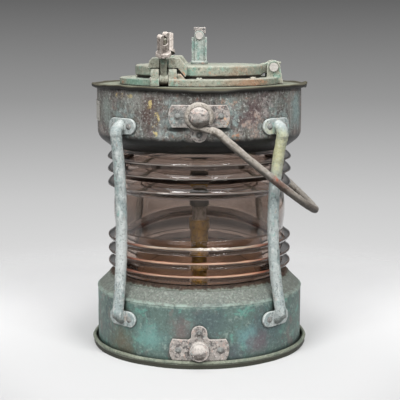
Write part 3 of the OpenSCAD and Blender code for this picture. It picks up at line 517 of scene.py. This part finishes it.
def drum_paint():
    """Upper drum: brown and grey patina, verdigris round the fittings, drips, flecks of old paint; painted
    shadow under the lugs and the roof's rim, painted shade in the throat, in corners and on the inside.
    """
    p = Paint("drum_patina", specular=0.3)
    colour = layered(p, (104, 101, 95), DRUM_LAYERS)
    palm = p.near(UPPER_PALM, 12, 38, folded=True)
    lug = p.near(UPPER_LUG, 12, 30, folded=True)
    halo = p.math("MULTIPLY", p.math("MAXIMUM", palm, lug), p.ramp(p.noise(7, seed=41), 0.40, 0.62))
    colour = p.over(colour, (132, 150, 148), halo, 0.75)
    for centre, size, tone in DRUM_HAZE:
        colour = p.over(colour, tone, haze(p, centre, size, 43), 0.9)
    grain, _ = pitted(p, 0.22)
    colour = speckled(p, colour, (178, 182, 176), (38, 34, 32), 0.75)
    for centre, size, spread in DRUM_FLECKS:
        fleck = patch(p, centre, size / 2, size, 6, 45, spread, tall=1.6)
        colour = p.over(colour, (196, 178, 122), fleck, 0.85)
    for centre, size, tone in DRUM_SPOTS:
        colour = p.over(colour, tone, patch(p, centre, size / 2, size, 7, 47), 0.7)
    # Painted shadow on the drum under the upper lug plates
    shade = p.near(UPPER_LUG_FOOT, 0.6, 1.1, folded=True, spread=LUG_FOOT_SPREAD)
    colour = p.over(colour, (16, 15, 13), shade, 0.9)
    # Painted shade in the throat at the foot of the drum, and painted shadow under the roof's rim at its
    # top, with ragged edges
    shade_height = p.math("ADD", p.axis("Z"), p.math("MULTIPLY", p.noise(12, seed=49), 7))
    colour = p.over(colour, THROAT_SHADE_TONE, p.ramp(shade_height, *THROAT_SHADE_HEIGHTS))
    colour = p.over(colour, OVERHANG_SHADOW_TONE, p.ramp(shade_height, *OVERHANG_SHADOW_HEIGHTS))
    # Painted shade in corners, and darker on faces that look inwards, as painted shade inside the drum
    colour = p.over(colour, (34, 32, 28), p.crevice(7), 0.85)
    colour = p.over(colour, (74, 64, 58), p.inside())
    return p.finish(colour, rough_from(p, grain, 0.32))


def base_paint():
    """Lower drum: teal verdigris with brown patches, paler on the shoulder, painted shade in corners, bare
    copper inside.
    """
    p = Paint("base_verdigris", specular=0.4)
    colour = layered(p, (88, 107, 101), BASE_LAYERS)
    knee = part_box("base_drum")[1].z / MM - SHOULDER_H / MM
    shoulder = layered(p, (110, 114, 107), SHOULDER_LAYERS)
    colour = p.over(colour, shoulder, p.ramp(p.axis("Z"), knee - 0.4, knee + 0.8))
    edge = p.level(knee, 1.4, 3.2)
    colour = p.over(colour, (140, 156, 146), edge, p.ramp(p.noise(6, seed=50), 0.35, 0.6))
    palm = p.near(LOWER_PALM, 13, 30, folded=True)
    halo = p.math("MULTIPLY", palm, p.ramp(p.noise(6, seed=51), 0.4, 0.62))
    colour = p.over(colour, (94, 138, 128), halo, 0.5)
    for centre, size, tone in BASE_SPOTS:
        colour = p.over(colour, tone, haze(p, centre, size, 57), 0.8)
    grain, _ = pitted(p, 0.25)
    colour = speckled(p, colour, (136, 156, 148), (50, 58, 56), 0.4)
    # Painted shade in corners
    colour = p.over(colour, (40, 46, 40), p.crevice(7), 0.9)
    colour = p.over(colour, COPPER, p.inside())
    return p.finish(colour, rough_from(p, grain, 0.4))


def roof_paint():
    """Roof: olive on top, painted shade along the face of its rim, darker painted shade on faces turned
    down and in corners.
    """
    p = Paint("roof_patina", specular=0.3)
    colour = layered(p, (132, 136, 119), ROOF_LAYERS)
    grain, _ = pitted(p, 0.3)
    colour = speckled(p, colour, (176, 180, 162), (66, 66, 52), 0.5)
    # Painted shade along the face of the rim, with a ragged inner edge, and darker painted shade on faces
    # turned down and in corners
    ragged = p.math("MULTIPLY", p.noise(9, detail=8, rough=0.7, seed=61), 14)
    rim = p.math("ADD", p.radius(), ragged)
    colour = p.over(colour, (72, 68, 52), p.ramp(rim, *RIM_SHADE))
    colour = p.over(colour, (24, 23, 18), p.facing(0.75, 0.3))
    colour = p.over(colour, (40, 40, 32), p.crevice(5), 0.9)
    return p.finish(colour, rough_from(p, grain, 0.45))


def tray_paint():
    """Tray: olive bead, with painted shade on faces turned down, on the lip below the bead and in corners;
    copper inside.
    """
    p = Paint("tray_patina", specular=0.35)
    colour = layered(p, (124, 129, 114), TRAY_LAYERS)
    grain, _ = pitted(p, 0.3)
    colour = speckled(p, colour, (176, 182, 164), (62, 66, 52), 0.5)
    # Painted shade on faces turned down, on the lip below the bead, and in corners
    colour = p.over(colour, (50, 50, 40), p.facing(-0.1, -0.7), 0.9)
    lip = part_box("base_pan")[1].z / MM - 2 * BEAD_R / MM
    colour = p.over(colour, (52, 52, 43), p.ramp(p.axis("Z"), lip + 0.5, lip - 0.5))
    colour = p.over(colour, (48, 54, 44), p.crevice(5), 0.9)
    colour = p.over(colour, COPPER, p.ramp(p.radius(), *TRAY_INSIDE))
    return p.finish(colour, rough_from(p, grain, 0.45))


def putty_paint():
    """Packing under the glass: brown, with verdigris creeping over its outer edge."""
    p = Paint("brown_packing", specular=0.2)
    colour = layered(p, (64, 50, 41), PUTTY_LAYERS)
    grain, _ = pitted(p, 0.4)
    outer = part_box("lower_gasket")[1].x / MM
    ragged = p.math("MULTIPLY", p.noise(5, detail=7, rough=0.7, seed=70), 9)
    creep = p.ramp(p.math("ADD", p.radius(), ragged), outer + 2.5, outer + 4.5)
    colour = p.over(colour, (112, 119, 110), creep)
    colour = speckled(p, colour, (128, 122, 110), (30, 24, 20), 0.5)
    return p.finish(colour, rough_from(p, grain, 0.5))


def lens_paint():
    """Smoky glass: clear polish outside, tint that deepens with its thickness."""
    p = Paint("smoky_glass", roughness=0.01, specular=0.5)
    p.shader.inputs["Transmission Weight"].default_value = 1.0
    p.shader.inputs["IOR"].default_value = GLASS_IOR
    p.shader.inputs["Coat Weight"].default_value = 0.6
    p.shader.inputs["Coat Roughness"].default_value = 0.02
    depth = p.tree.nodes.new("ShaderNodeVolumeAbsorption")
    depth.inputs["Color"].default_value = SMOKE
    depth.inputs["Density"].default_value = GLASS_DENSITY
    p.tree.links.new(depth.outputs[0], p.tree.nodes["Material Output"].inputs["Volume"])
    return p.finish(GLASS_TONE)


def bulb_paint():
    """Clear glass of the bulb."""
    p = Paint("bulb_glass", roughness=0.0)
    p.shader.inputs["Transmission Weight"].default_value = 1.0
    return p.finish(BULB_TONE)


def edge_paint(tips):
    """Painted highlights and reflections on the prism tips: pale lines, copper-brown glow beside the given
    tips and at the lower sides, painted shade at the sides, white chips.
    """
    p = Paint("painted_tip_highlights", roughness=0.4)
    low = p.ramp(p.axis("Z"), *LOWER_ROWS)
    sideways = p.math("ABSOLUTE", p.axis("X"))
    colour = p.mix(low, (140, 132, 126), (150, 142, 130))
    colour = p.over(colour, (188, 160, 136), p.ramp(p.axis("Z"), *WARM_REFLECTION_ROWS))
    # Copper-brown painted reflection beside the tips, the tip line itself left pale
    for tip in tips:
        line = p.level(tip, 0.2, 0.7)
        glow = p.math("MULTIPLY", p.level(tip, 3, 4), p.math("SUBTRACT", 1.0, line))
        colour = p.over(colour, (146, 96, 74), glow, 0.85)
    # Red-brown painted reflection towards the sides on the lower rows, and painted shade at the sides
    colour = p.over(colour, (128, 78, 60), p.ramp(sideways, *SIDE_REFLECTION), low)
    colour = p.over(colour, (58, 47, 41), p.ramp(sideways, *SIDE_SHADE))
    # Patchy dimming of the painted highlight
    worn = p.noise(24, detail=3, seed=66)
    colour = p.over(colour, (104, 90, 80), p.ramp(worn, 0.4, 0.7), 0.6)
    chips = p.math("MAXIMUM", p.near(LOWER_CHIP, 14, 24), p.near(UPPER_CHIP, 6, 14))
    colour = p.over(colour, (222, 214, 206), chips, p.ramp(p.noise(1.6, seed=67), 0.4, 0.55))
    return p.finish(colour)


def metal(name, tone, roughness):
    """Dull bare metal with a darker tarnish."""
    p = Paint(name, roughness=roughness, metallic=0.75)
    grain = p.noise(4, detail=5, seed=71)
    colour = p.mix(p.ramp(grain, 0.4, 0.65), tone, [c * 0.7 for c in tone])
    return p.finish(colour)


# Mesh tools


def mesh_object(name, verts, faces, crease=None):
    """A smooth-shaded mesh in the scene, sharp where faces meet at more than the crease in degrees."""
    mesh = bpy.data.meshes.new(name)
    mesh.from_pydata(verts, [], faces)
    mesh.validate()
    mesh.shade_smooth()
    if crease is not None:
        mesh.set_sharp_from_angle(angle=math.radians(crease))
    obj = bpy.data.objects.new(name, mesh)
    bpy.context.scene.collection.objects.link(obj)
    return obj


def finer(points, step):
    """A closed outline with extra points, no further apart than step."""
    out = []
    for a, b in zip(points, points[1:] + points[:1]):
        parts = max(1, math.ceil((Vector(b) - Vector(a)).length / step))
        out += [tuple(Vector(a).lerp(Vector(b), i / parts)) for i in range(parts)]
    return out


def lathe(name, outline, bend=None, crease=30, around=AROUND):
    """Turns a closed outline of (r, z) points about Z; bend(angle, r, z) gives the moved (r, z)."""
    verts = []
    faces = []
    rows = len(outline)
    for i in range(around):
        angle = 2 * math.pi * i / around
        for r, z in outline:
            if bend is not None:
                r, z = bend(angle, r, z)
            verts.append((r * math.sin(angle), -r * math.cos(angle), z))
        j = (i + 1) % around
        for k in range(rows):
            m = (k + 1) % rows
            faces.append((i * rows + k, j * rows + k, j * rows + m, i * rows + m))
    return mesh_object(name, verts, faces, crease)


def hump(angle, centre, half):
    """Smooth bump of height 1 about an angle in degrees, 0 beyond half."""
    away = (math.degrees(angle) - centre + 180) % 360 - 180
    return math.cos(away / half * math.pi / 2) ** 2 if abs(away) < half else 0.0


def wave(angle, waves, level):
    """Smooth noise round the axis, from -1 to 1; more waves make it finer, level picks a ring of it."""
    return noise.noise(Vector((math.sin(angle) * waves, math.cos(angle) * waves, level)))


def stand_for(obj, node, paint, body="lantern"):
    """Shows a piece in place of a CAD node."""
    obj.data.materials.append(paint)
    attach(obj, body)
    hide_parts(node)


def arc(centre, radius, start, end, count):
    """Points on an arc of (r, z), angles in degrees."""
    turns = [math.radians(start + (end - start) * i / count) for i in range(count + 1)]
    return [(centre[0] + radius * math.cos(t), centre[1] + radius * math.sin(t)) for t in turns]


# Sheet metal body


def build_drums(lower_look, upper_look):
    """Lower drum with its shoulder, and upper drum with its knee and throat, both slightly out of true."""
    low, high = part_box("base_drum")
    wall_r = high.x
    knee = high.z - SHOULDER_H
    outline = [
        (wall_r, low.z), (wall_r, knee - KNEE_BELOW),
        (wall_r + KNEE_PROUD, knee), (wall_r - KNEE_IN, knee + KNEE_ABOVE),
        (SEAT_R, high.z), (LENS_BORE_R, high.z), (LENS_BORE_R, high.z - SHEET),
        (SEAT_R - SHEET / 2, high.z - SHEET), (wall_r - SHEET, knee - SHEET / 2), (wall_r - SHEET, low.z)]

    def dented(angle, r, z):
        return r + WALL_SWELL * wave(angle, 3, z / WALL_WAVE), z

    base = lathe("base_shell", finer(outline, OUTLINE_STEP), dented)
    stand_for(base, "base_drum", lower_look)
    low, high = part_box("upper_drum")
    wall_r = high.x
    slope = math.degrees(math.atan2(THROAT_H, wall_r - SEAT_R))
    reach = DRUM_KNEE_R * math.tan(math.radians((90 - slope) / 2))
    turn = (wall_r - DRUM_KNEE_R, low.z + THROAT_H + reach)
    outline = [(LENS_BORE_R, low.z), (SEAT_R, low.z)]
    outline += arc(turn, DRUM_KNEE_R, slope - 90, 0, KNEE_PARTS)
    outline += [(wall_r, high.z), (wall_r - SHEET, high.z)]
    outline += arc(turn, DRUM_KNEE_R - SHEET, 0, slope - 90, KNEE_PARTS)
    outline += [(SEAT_R - SHEET / 2, low.z + SHEET), (LENS_BORE_R, low.z + SHEET)]
    drum = lathe("upper_shell", finer(outline, OUTLINE_STEP), dented)
    stand_for(drum, "upper_drum", upper_look)


def build_pan(paint):
    """Tray with an upturned lip and a rolled bead, dented along the lip."""
    low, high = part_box("base_pan")
    lip_r = high.x - BEAD_R
    bead_z = high.z - BEAD_R
    outline = [(TRAY_HOLE_R, 0.0), (lip_r + SHEET / 2, 0.0)]
    outline += arc((lip_r, bead_z), BEAD_R, *TRAY_BEAD)
    outline += [(lip_r - SHEET / 2, SHEET), (TRAY_HOLE_R, SHEET)]

    def dented(angle, r, z):
        free = max(0.0, (r / lip_r - LIP_FROM) / (1 - LIP_FROM))
        swell = wave(angle, 6, 0.3)
        lift = max(0.0, swell) * LIP_LIFT * free * min(1.0, z / bead_z)
        return r + LIP_SWELL * swell * free, z + lift

    pan = lathe("tray", finer(outline, TRAY_STEP), dented)
    stand_for(pan, "base_pan", paint)


def build_roof(paint):
    """Roof sheet with a rolled rim, sagging and flared in places."""
    low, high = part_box("top_plate")
    rim_r = high.x - BEAD_R
    middle = (low.z + high.z) / 2
    under = middle - SHEET / 2
    steps = [(rim_r - HATCH_R) * i / ROOF_PARTS for i in range(ROOF_PARTS + 1)]
    outline = [(HATCH_R + step, under) for step in steps[:-1]]
    outline += arc((rim_r, middle), BEAD_R, *ROOF_BEAD)
    outline += [(rim_r - step, under + SHEET) for step in steps[1:]]

    def dented(angle, r, z):
        free = max(0.0, (r - ROOF_FIRM_R) / (rim_r - ROOF_FIRM_R)) ** 1.5
        sag = sum(size * hump(angle, *where) for size, *where in ROOF_SAG) + 0.6 * wave(angle, 7, 1.7)
        out = sum(size * hump(angle, *where) for size, *where in ROOF_FLARE) + 0.5 * wave(angle, 9, 4.1)
        return r + out * MM * free, z + sag * MM * free

    roof = lathe("roof", outline, dented, crease=50)
    stand_for(roof, "top_plate", paint)


# Glass


def prism(width, depth):
    """One prism from its belt side to its root, as (out, along) points, its tip cut flat."""
    tip = Vector((depth + TIP_CUT, PRISM_TIP * width))
    root = Vector((0.0, width))
    chord = root - tip
    bulge_r = PRISM_BULGE * chord.length
    out = Vector((chord.y, -chord.x)).normalized()
    centre = (tip + root) / 2 - out * math.sqrt(bulge_r**2 - chord.length_squared / 4)
    start = math.atan2(tip.y - centre.y, tip.x - centre.x)
    end = math.atan2(root.y - centre.y, root.x - centre.x)
    face = [(tip.x * i / FACE_PARTS, tip.y * i / FACE_PARTS) for i in range(FACE_PARTS)]
    turns = [start + (end - start) * i / BULGE_PARTS for i in range(BULGE_PARTS + 1)]
    face += [(centre.x + bulge_r * math.cos(t), centre.y + bulge_r * math.sin(t)) for t in turns]
    return [(min(reach, depth), along) for reach, along in face]


def build_lens(paint):
    """Barrel glass: a bulged belt between two sets of three prisms. Returns its outer outline."""
    low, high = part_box("fresnel_lens")
    valley = LENS_BORE_R + LENS_WEB
    depth = high.x - valley
    middle = (low.z + high.z) / 2
    half = (high.z - low.z) / 2
    side = []
    start = BELT_H / 2
    for i in range(PRISM_ROWS):
        width = PRISM_FIRST - i * PRISM_STEP
        side += [(valley + o, start + a) for o, a in prism(width, depth)[:-1]]
        start += width
    side += [(valley, start), (valley, half)]
    belt_r = (BELT_H**2 / 4 + BELT_RISE**2) / (2 * BELT_RISE)
    spread = math.degrees(math.asin(BELT_H / 2 / belt_r))
    belt = arc((valley + BELT_RISE - belt_r, 0.0), belt_r, -spread, spread, BELT_PARTS)
    outline = [(r, middle - z) for r, z in reversed(side)] + [(r, middle + z) for r, z in belt[1:-1]]
    outline += [(r, middle + z) for r, z in side]
    bore = [(LENS_BORE_R, high.z - (high.z - low.z) * i / BORE_PARTS) for i in range(BORE_PARTS + 1)]
    lens = lathe("barrel_lens", outline + bore, crease=66)
    stand_for(lens, "fresnel_lens", paint)
    lens.visible_shadow = False
    return outline


def prism_tips():
    """Heights of the prism tips, from the belt outwards, as (row, side, z)."""
    low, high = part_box("fresnel_lens")
    start = BELT_H / 2
    tips = []
    for row in range(PRISM_ROWS):
        width = PRISM_FIRST - row * PRISM_STEP
        rise = start + PRISM_TIP * width
        tips += [(row, side, (low.z + high.z) / 2 + side * rise) for side in (1, -1)]
        start += width
    return tips


def build_edges(outline, paint):
    """Bands of painted highlight along the prism tips, ragged, wider below and where the glass is chipped.
    """
    for row, side, z in prism_tips():
        name = f"painted_tip_band_{row}_{'upper' if side > 0 else 'lower'}"
        half = EDGE_HALF_UPPER if side > 0 else EDGE_HALF_LOWER
        edge_band(name, outline, z, half, side, row == 0, paint)


def edge_band(name, outline, tip, half, side, chipped, paint):
    """A thin skin over the glass about one tip; its section is (offset from glass, height from tip)."""
    heights = [z for r, z in outline]
    steps = [half * (i / EDGE_PARTS - 1) for i in range(2 * EDGE_PARTS + 1)]
    section = [(EDGE_PROUD, step) for step in steps] + [(-EDGE_DEEP, -step) for step in steps]

    def ragged(angle, offset, along):
        grow = 1 + EDGE_RAGGED * wave(angle, 9, tip / MM)
        if chipped:
            chip = hump(angle, *(UPPER_CHIP_ARC if side > 0 else LOWER_CHIP_ARC))
            grow += CHIP_GROWTH * chip * abs(wave(angle, 45, along / MM))
        z = tip + along * max(EDGE_LEAST, grow)
        k = bisect.bisect(heights, z)
        (r0, z0), (r1, z1) = outline[k - 1], outline[k]
        return r0 + (r1 - r0) * (z - z0) / (z1 - z0) + offset, z

    band = lathe(name, section, ragged, around=EDGE_AROUND)
    band.data.materials.append(paint)
    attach(band, "lantern")


# CAD nodes

CLOUD = {}


def cloud(size):
    """Displacement texture with features of that size in mm."""
    if size not in CLOUD:
        texture = bpy.data.textures.new(f"cloud_{size}", "CLOUDS")
        texture.noise_scale = size * MM
        texture.noise_depth = 3
        CLOUD[size] = texture
    return CLOUD[size]


def roughen(node, voxel, depth, size):
    """Even mesh and an uneven, worn surface, sizes in mm."""
    obj = NODES[node]
    remesh = obj.modifiers.new("even", "REMESH")
    remesh.mode = "VOXEL"
    remesh.voxel_size = voxel * MM
    remesh.use_smooth_shade = True
    ease = obj.modifiers.new("ease", "SMOOTH")
    ease.factor = 0.5
    ease.iterations = 2
    worn = obj.modifiers.new("worn", "DISPLACE")
    worn.texture = cloud(size)
    worn.texture_coords = "LOCAL"
    worn.strength = depth * MM
    worn.mid_level = 0.5


def dress(paint, *nodes):
    """One material for CAD nodes that are shown as they are."""
    for node in nodes:
        NODES[node].data.materials.clear()
        NODES[node].data.materials.append(paint)


# Stage


def build_camera():
    """The photograph's view."""
    data = bpy.data.cameras.new("camera")
    data.sensor_width = SENSOR_MM
    data.lens = FOCAL_PX / IMAGE_PX * SENSOR_MM
    data.clip_end = 50
    camera = bpy.data.objects.new("camera", data)
    camera.location = CAMERA_AT
    camera.rotation_euler = (math.radians(90 - CAMERA_PITCH), 0, 0)
    bpy.context.scene.collection.objects.link(camera)
    bpy.context.scene.camera = camera


def softbox(name, azimuth, elevation, distance, width, height, watts):
    """Area light round the object; azimuth 0 is the camera's side, positive to the right."""
    data = bpy.data.lights.new(name, "AREA")
    data.shape = "RECTANGLE"
    data.size = width
    data.size_y = height
    data.energy = watts
    a, e = math.radians(azimuth), math.radians(elevation)
    away = Vector((math.sin(a) * math.cos(e), -math.cos(a) * math.cos(e), math.sin(e)))
    light = bpy.data.objects.new(name, data)
    light.location = Vector(LIGHT_AIM) + away * distance
    light.rotation_euler = (-away).to_track_quat("-Z", "Y").to_euler()
    bpy.context.scene.collection.objects.link(light)
    return light


def build_world():
    """Soft ambient light; the picture's backdrop runs from grey above to pale at the floor."""
    world = bpy.data.worlds.new("studio")
    bpy.context.scene.world = world
    world.use_nodes = True
    tree = world.node_tree
    tree.nodes.clear()
    out = tree.nodes.new("ShaderNodeOutputWorld")
    coords = tree.nodes.new("ShaderNodeTexCoord")
    split = tree.nodes.new("ShaderNodeSeparateXYZ")
    tree.links.new(coords.outputs["Generated"], split.inputs[0])
    place = tree.nodes.new("ShaderNodeMapRange")
    place.inputs["From Min"].default_value = math.sin(math.radians(BACKDROP_FROM))
    place.inputs["From Max"].default_value = math.sin(math.radians(BACKDROP_TO))
    tree.links.new(split.outputs["Z"], place.inputs["Value"])
    ramp = tree.nodes.new("ShaderNodeValToRGB")
    tree.links.new(place.outputs["Result"], ramp.inputs["Fac"])
    for i, (at, grey) in enumerate(BACKDROP_STOPS):
        stop = ramp.color_ramp.elements[i] if i < 2 else ramp.color_ramp.elements.new(at)
        stop.position = at
        stop.color = linear((grey, grey, grey))
    backdrop = tree.nodes.new("ShaderNodeBackground")
    tree.links.new(ramp.outputs["Color"], backdrop.inputs["Color"])
    ambient = tree.nodes.new("ShaderNodeBackground")
    ambient.inputs["Color"].default_value = AMBIENT
    path = tree.nodes.new("ShaderNodeLightPath")
    seen = path.outputs["Is Camera Ray"]
    for ray in ("Is Glossy Ray", "Is Transmission Ray"):
        both = tree.nodes.new("ShaderNodeMath")
        both.operation = "MAXIMUM"
        tree.links.new(seen, both.inputs[0])
        tree.links.new(path.outputs[ray], both.inputs[1])
        seen = both.outputs[0]
    either = tree.nodes.new("ShaderNodeMixShader")
    tree.links.new(seen, either.inputs["Fac"])
    tree.links.new(ambient.outputs[0], either.inputs[1])
    tree.links.new(backdrop.outputs[0], either.inputs[2])
    tree.links.new(either.outputs[0], out.inputs["Surface"])


def build_floor():
    """Pale floor that fades into the backdrop behind the lantern, with painted shade towards the front and
    at its front corners.
    """
    verts = [(0, 0, 0)]
    for k in range(1, FLOOR_RINGS + 1):
        r = FLOOR_REACH * k / FLOOR_RINGS
        turns = [2 * math.pi * i / FLOOR_SPOKES for i in range(FLOOR_SPOKES)]
        verts += [(r * math.cos(t), r * math.sin(t), 0) for t in turns]
    faces = [(0, 1 + i, 1 + (i + 1) % FLOOR_SPOKES) for i in range(FLOOR_SPOKES)]
    for k in range(FLOOR_RINGS - 1):
        a = 1 + k * FLOOR_SPOKES
        b = a + FLOOR_SPOKES
        for i in range(FLOOR_SPOKES):
            j = (i + 1) % FLOOR_SPOKES
            faces.append((a + i, b + i, b + j, a + j))
    floor = mesh_object("floor", verts, faces)
    p = Paint("pale_floor", roughness=0.9, specular=0.1)
    p.link(p.ramp(p.vector("LENGTH", p.place), *FLOOR_FADE), p.shader.inputs["Alpha"])
    # Painted shade: darker towards the front, and darker still at the front corners
    colour = p.mix(p.ramp(p.axis("Y"), *FLOOR_DEPTH), FLOOR_FAR_TONE, FLOOR_NEAR_TONE)
    corner = p.ramp(p.vector("LENGTH", p.vector("ADD", p.place, FLOOR_CENTRE)), *FLOOR_CORNER)
    colour = p.over(colour, FLOOR_CORNER_TONE, corner, p.ramp(p.axis("Y"), *FLOOR_FRONT))
    floor.data.materials.append(p.finish(colour))


build_camera()
build_world()
build_floor()
lights = {name: softbox(name, *setting) for name, setting in LIGHTS.items()}
lights["fill"].visible_glossy = False

# Looks of the castings and fittings

sage = casting("sage_bronze", (142, 143, 129), SAGE_LAYERS, (186, 187, 174), BROWN,
               spots=[((-20, -76, 296), 6, 18, (178, 116, 82)), ((60, -62, 291), 12, 44, (178, 128, 96))],
               hazes=[((48, -70, 291), 46, (152, 122, 98)), ((-66, -54, 292), 40, (112, 146, 132))])
post = casting("post_bronze", (150, 158, 151), POST_LAYERS, (192, 198, 192), BROWN,
               spots=[((0, -12, 311), 6, 14, (184, 152, 136))],
               hazes=[((8, -8, 324), 13, (92, 124, 117)), ((-8, -8, 328), 13, (92, 124, 117))])
# Painted highlight on the lower dome, and painted shade at the foot of the lower boss
pale = casting("pale_bronze", (160, 153, 147), PALE_LAYERS, (222, 214, 207), BROWN,
               spots=[((30, -113, 257), 4, 12, (204, 158, 120)), ((-30, -113, 257), 4, 14, (134, 168, 166)),
                      ((0, -126, 9), 4, 9, (92, 76, 66))],
               hazes=[((0, -128, 24), 18, (194, 187, 180)), ((-21, -115, 259), 18, (108, 114, 112))])
nuts = casting("nut_bronze", (178, 168, 160), NUT_LAYERS, (222, 214, 206), BROWN)
# Painted shade on the front lugs' rivets beneath the studs
rivets = casting("rivet_heads", (116, 124, 120), PALE_LAYERS, (140, 140, 137), BROWN,
                 hazes=[((0, -116, 39), 13, (46, 42, 38)), ((0, -116, 241), 13, (46, 42, 38))])
heads = casting("pin_heads", (150, 146, 139), PALE_LAYERS, (190, 186, 180), BROWN, specks=0.9)
guard = casting("guard_bronze", (162, 169, 167), GUARD_LAYERS, (208, 213, 210), (48, 52, 48), (84, 88, 84),
                hazes=[((76, -88, 222), 52, (192, 190, 146)), ((-82, -84, 120), 60, (186, 190, 188))])
# A paler copy of the guard paint: painted light on the rear guards
rear_guard_lit = casting("rear_guard_painted_light", (190, 196, 193), GUARD_LAYERS, (216, 221, 218), (70, 74, 70),
                     (120, 124, 120))
# Dark brown painted shade under the bail's rod
rod = casting("bail_rod", (150, 143, 133), ROD_LAYERS, (200, 194, 186), BROWN, (38, 31, 25),
              spots=[((78, -104, 195), 5, 16, (180, 88, 56))],
              hazes=[((84, -98, 192), 34, (112, 84, 72)), ((122, -40, 156), 74, (82, 71, 63))])
plate = casting("blank_plate", (128, 126, 120), PLATE_LAYERS, (186, 184, 177), BROWN)
dark = casting("dark_packing", (30, 28, 25), DARK_LAYERS, (60, 58, 50), (16, 15, 12))
gland = casting("gland_brass", (128, 116, 84), GLAND_LAYERS, (176, 160, 112), BROWN)
brass = metal("brass", (176, 140, 44), 0.28)
steel = metal("holder_metal", (176, 172, 164), 0.4)

# Pieces that stand for CAD nodes, or lie on them

build_drums(base_paint(), drum_paint())
build_pan(tray_paint())
build_roof(roof_paint())
glass_outline = build_lens(lens_paint())
# Tips of the lower rows, beside which a copper-brown reflection is painted
glow_tips = [z / MM for row, side, z in prism_tips() if side < 0 and row > 0]
build_edges(glass_outline, edge_paint(glow_tips))

# CAD nodes shown as they are, and the wear of the larger ones

GUARDS = ["guard_front_left", "guard_front_right", "guard_rear_left", "guard_rear_right"]
CLAMPS = ["wing_nut_front", "wing_nut_rear", "swing_bolt_front", "swing_bolt_rear", "lifting_link"]
LUGS = ["front_upper_lug", "rear_upper_lug", "front_lower_lug", "rear_lower_lug", "front_stud", "rear_stud"]

dress(sage, "hatch_ring", "lid", "ring_screws", "swing_bolt_front", "swing_bolt_rear")
dress(post, "lifting_post")
dress(guard, *GUARDS[:2])
dress(rear_guard_lit, *GUARDS[2:])
dress(pale, *LUGS, "lifting_link", "clamp_pin_front", "clamp_pin_rear")
dress(nuts, "wing_nut_front", "wing_nut_rear")
dress(rivets, "lug_rivets", "guard_rivets")
dress(heads, "hinge_pin", "post_pin")
dress(plate, "name_plate", "name_plate_pins")
dress(rod, "bail")
dress(brass, "lamp_column", "lamp_flange", "flange_screws")
dress(gland, "gland_body", "gland_nut")
dress(dark, "holder_cap", "upper_gasket", "lid_gasket")
dress(putty_paint(), "lower_gasket")
dress(steel, "lamp_holder")
dress(bulb_paint(), "lamp_bulb")

# Nodes, voxel, depth and grain of their wear in mm
WORN = [
    (GUARDS + ["bail"], 0.7, 0.9, 6),
    (LUGS + CLAMPS + ["lifting_post"], 0.45, 0.6, 3),
    (["hatch_ring", "lid"], 0.7, 0.8, 6)]
for nodes, voxel, depth, grain in WORN:
    for node in nodes:
        roughen(node, voxel, depth, grain)

bpy.context.scene.view_settings.view_transform = "Standard"
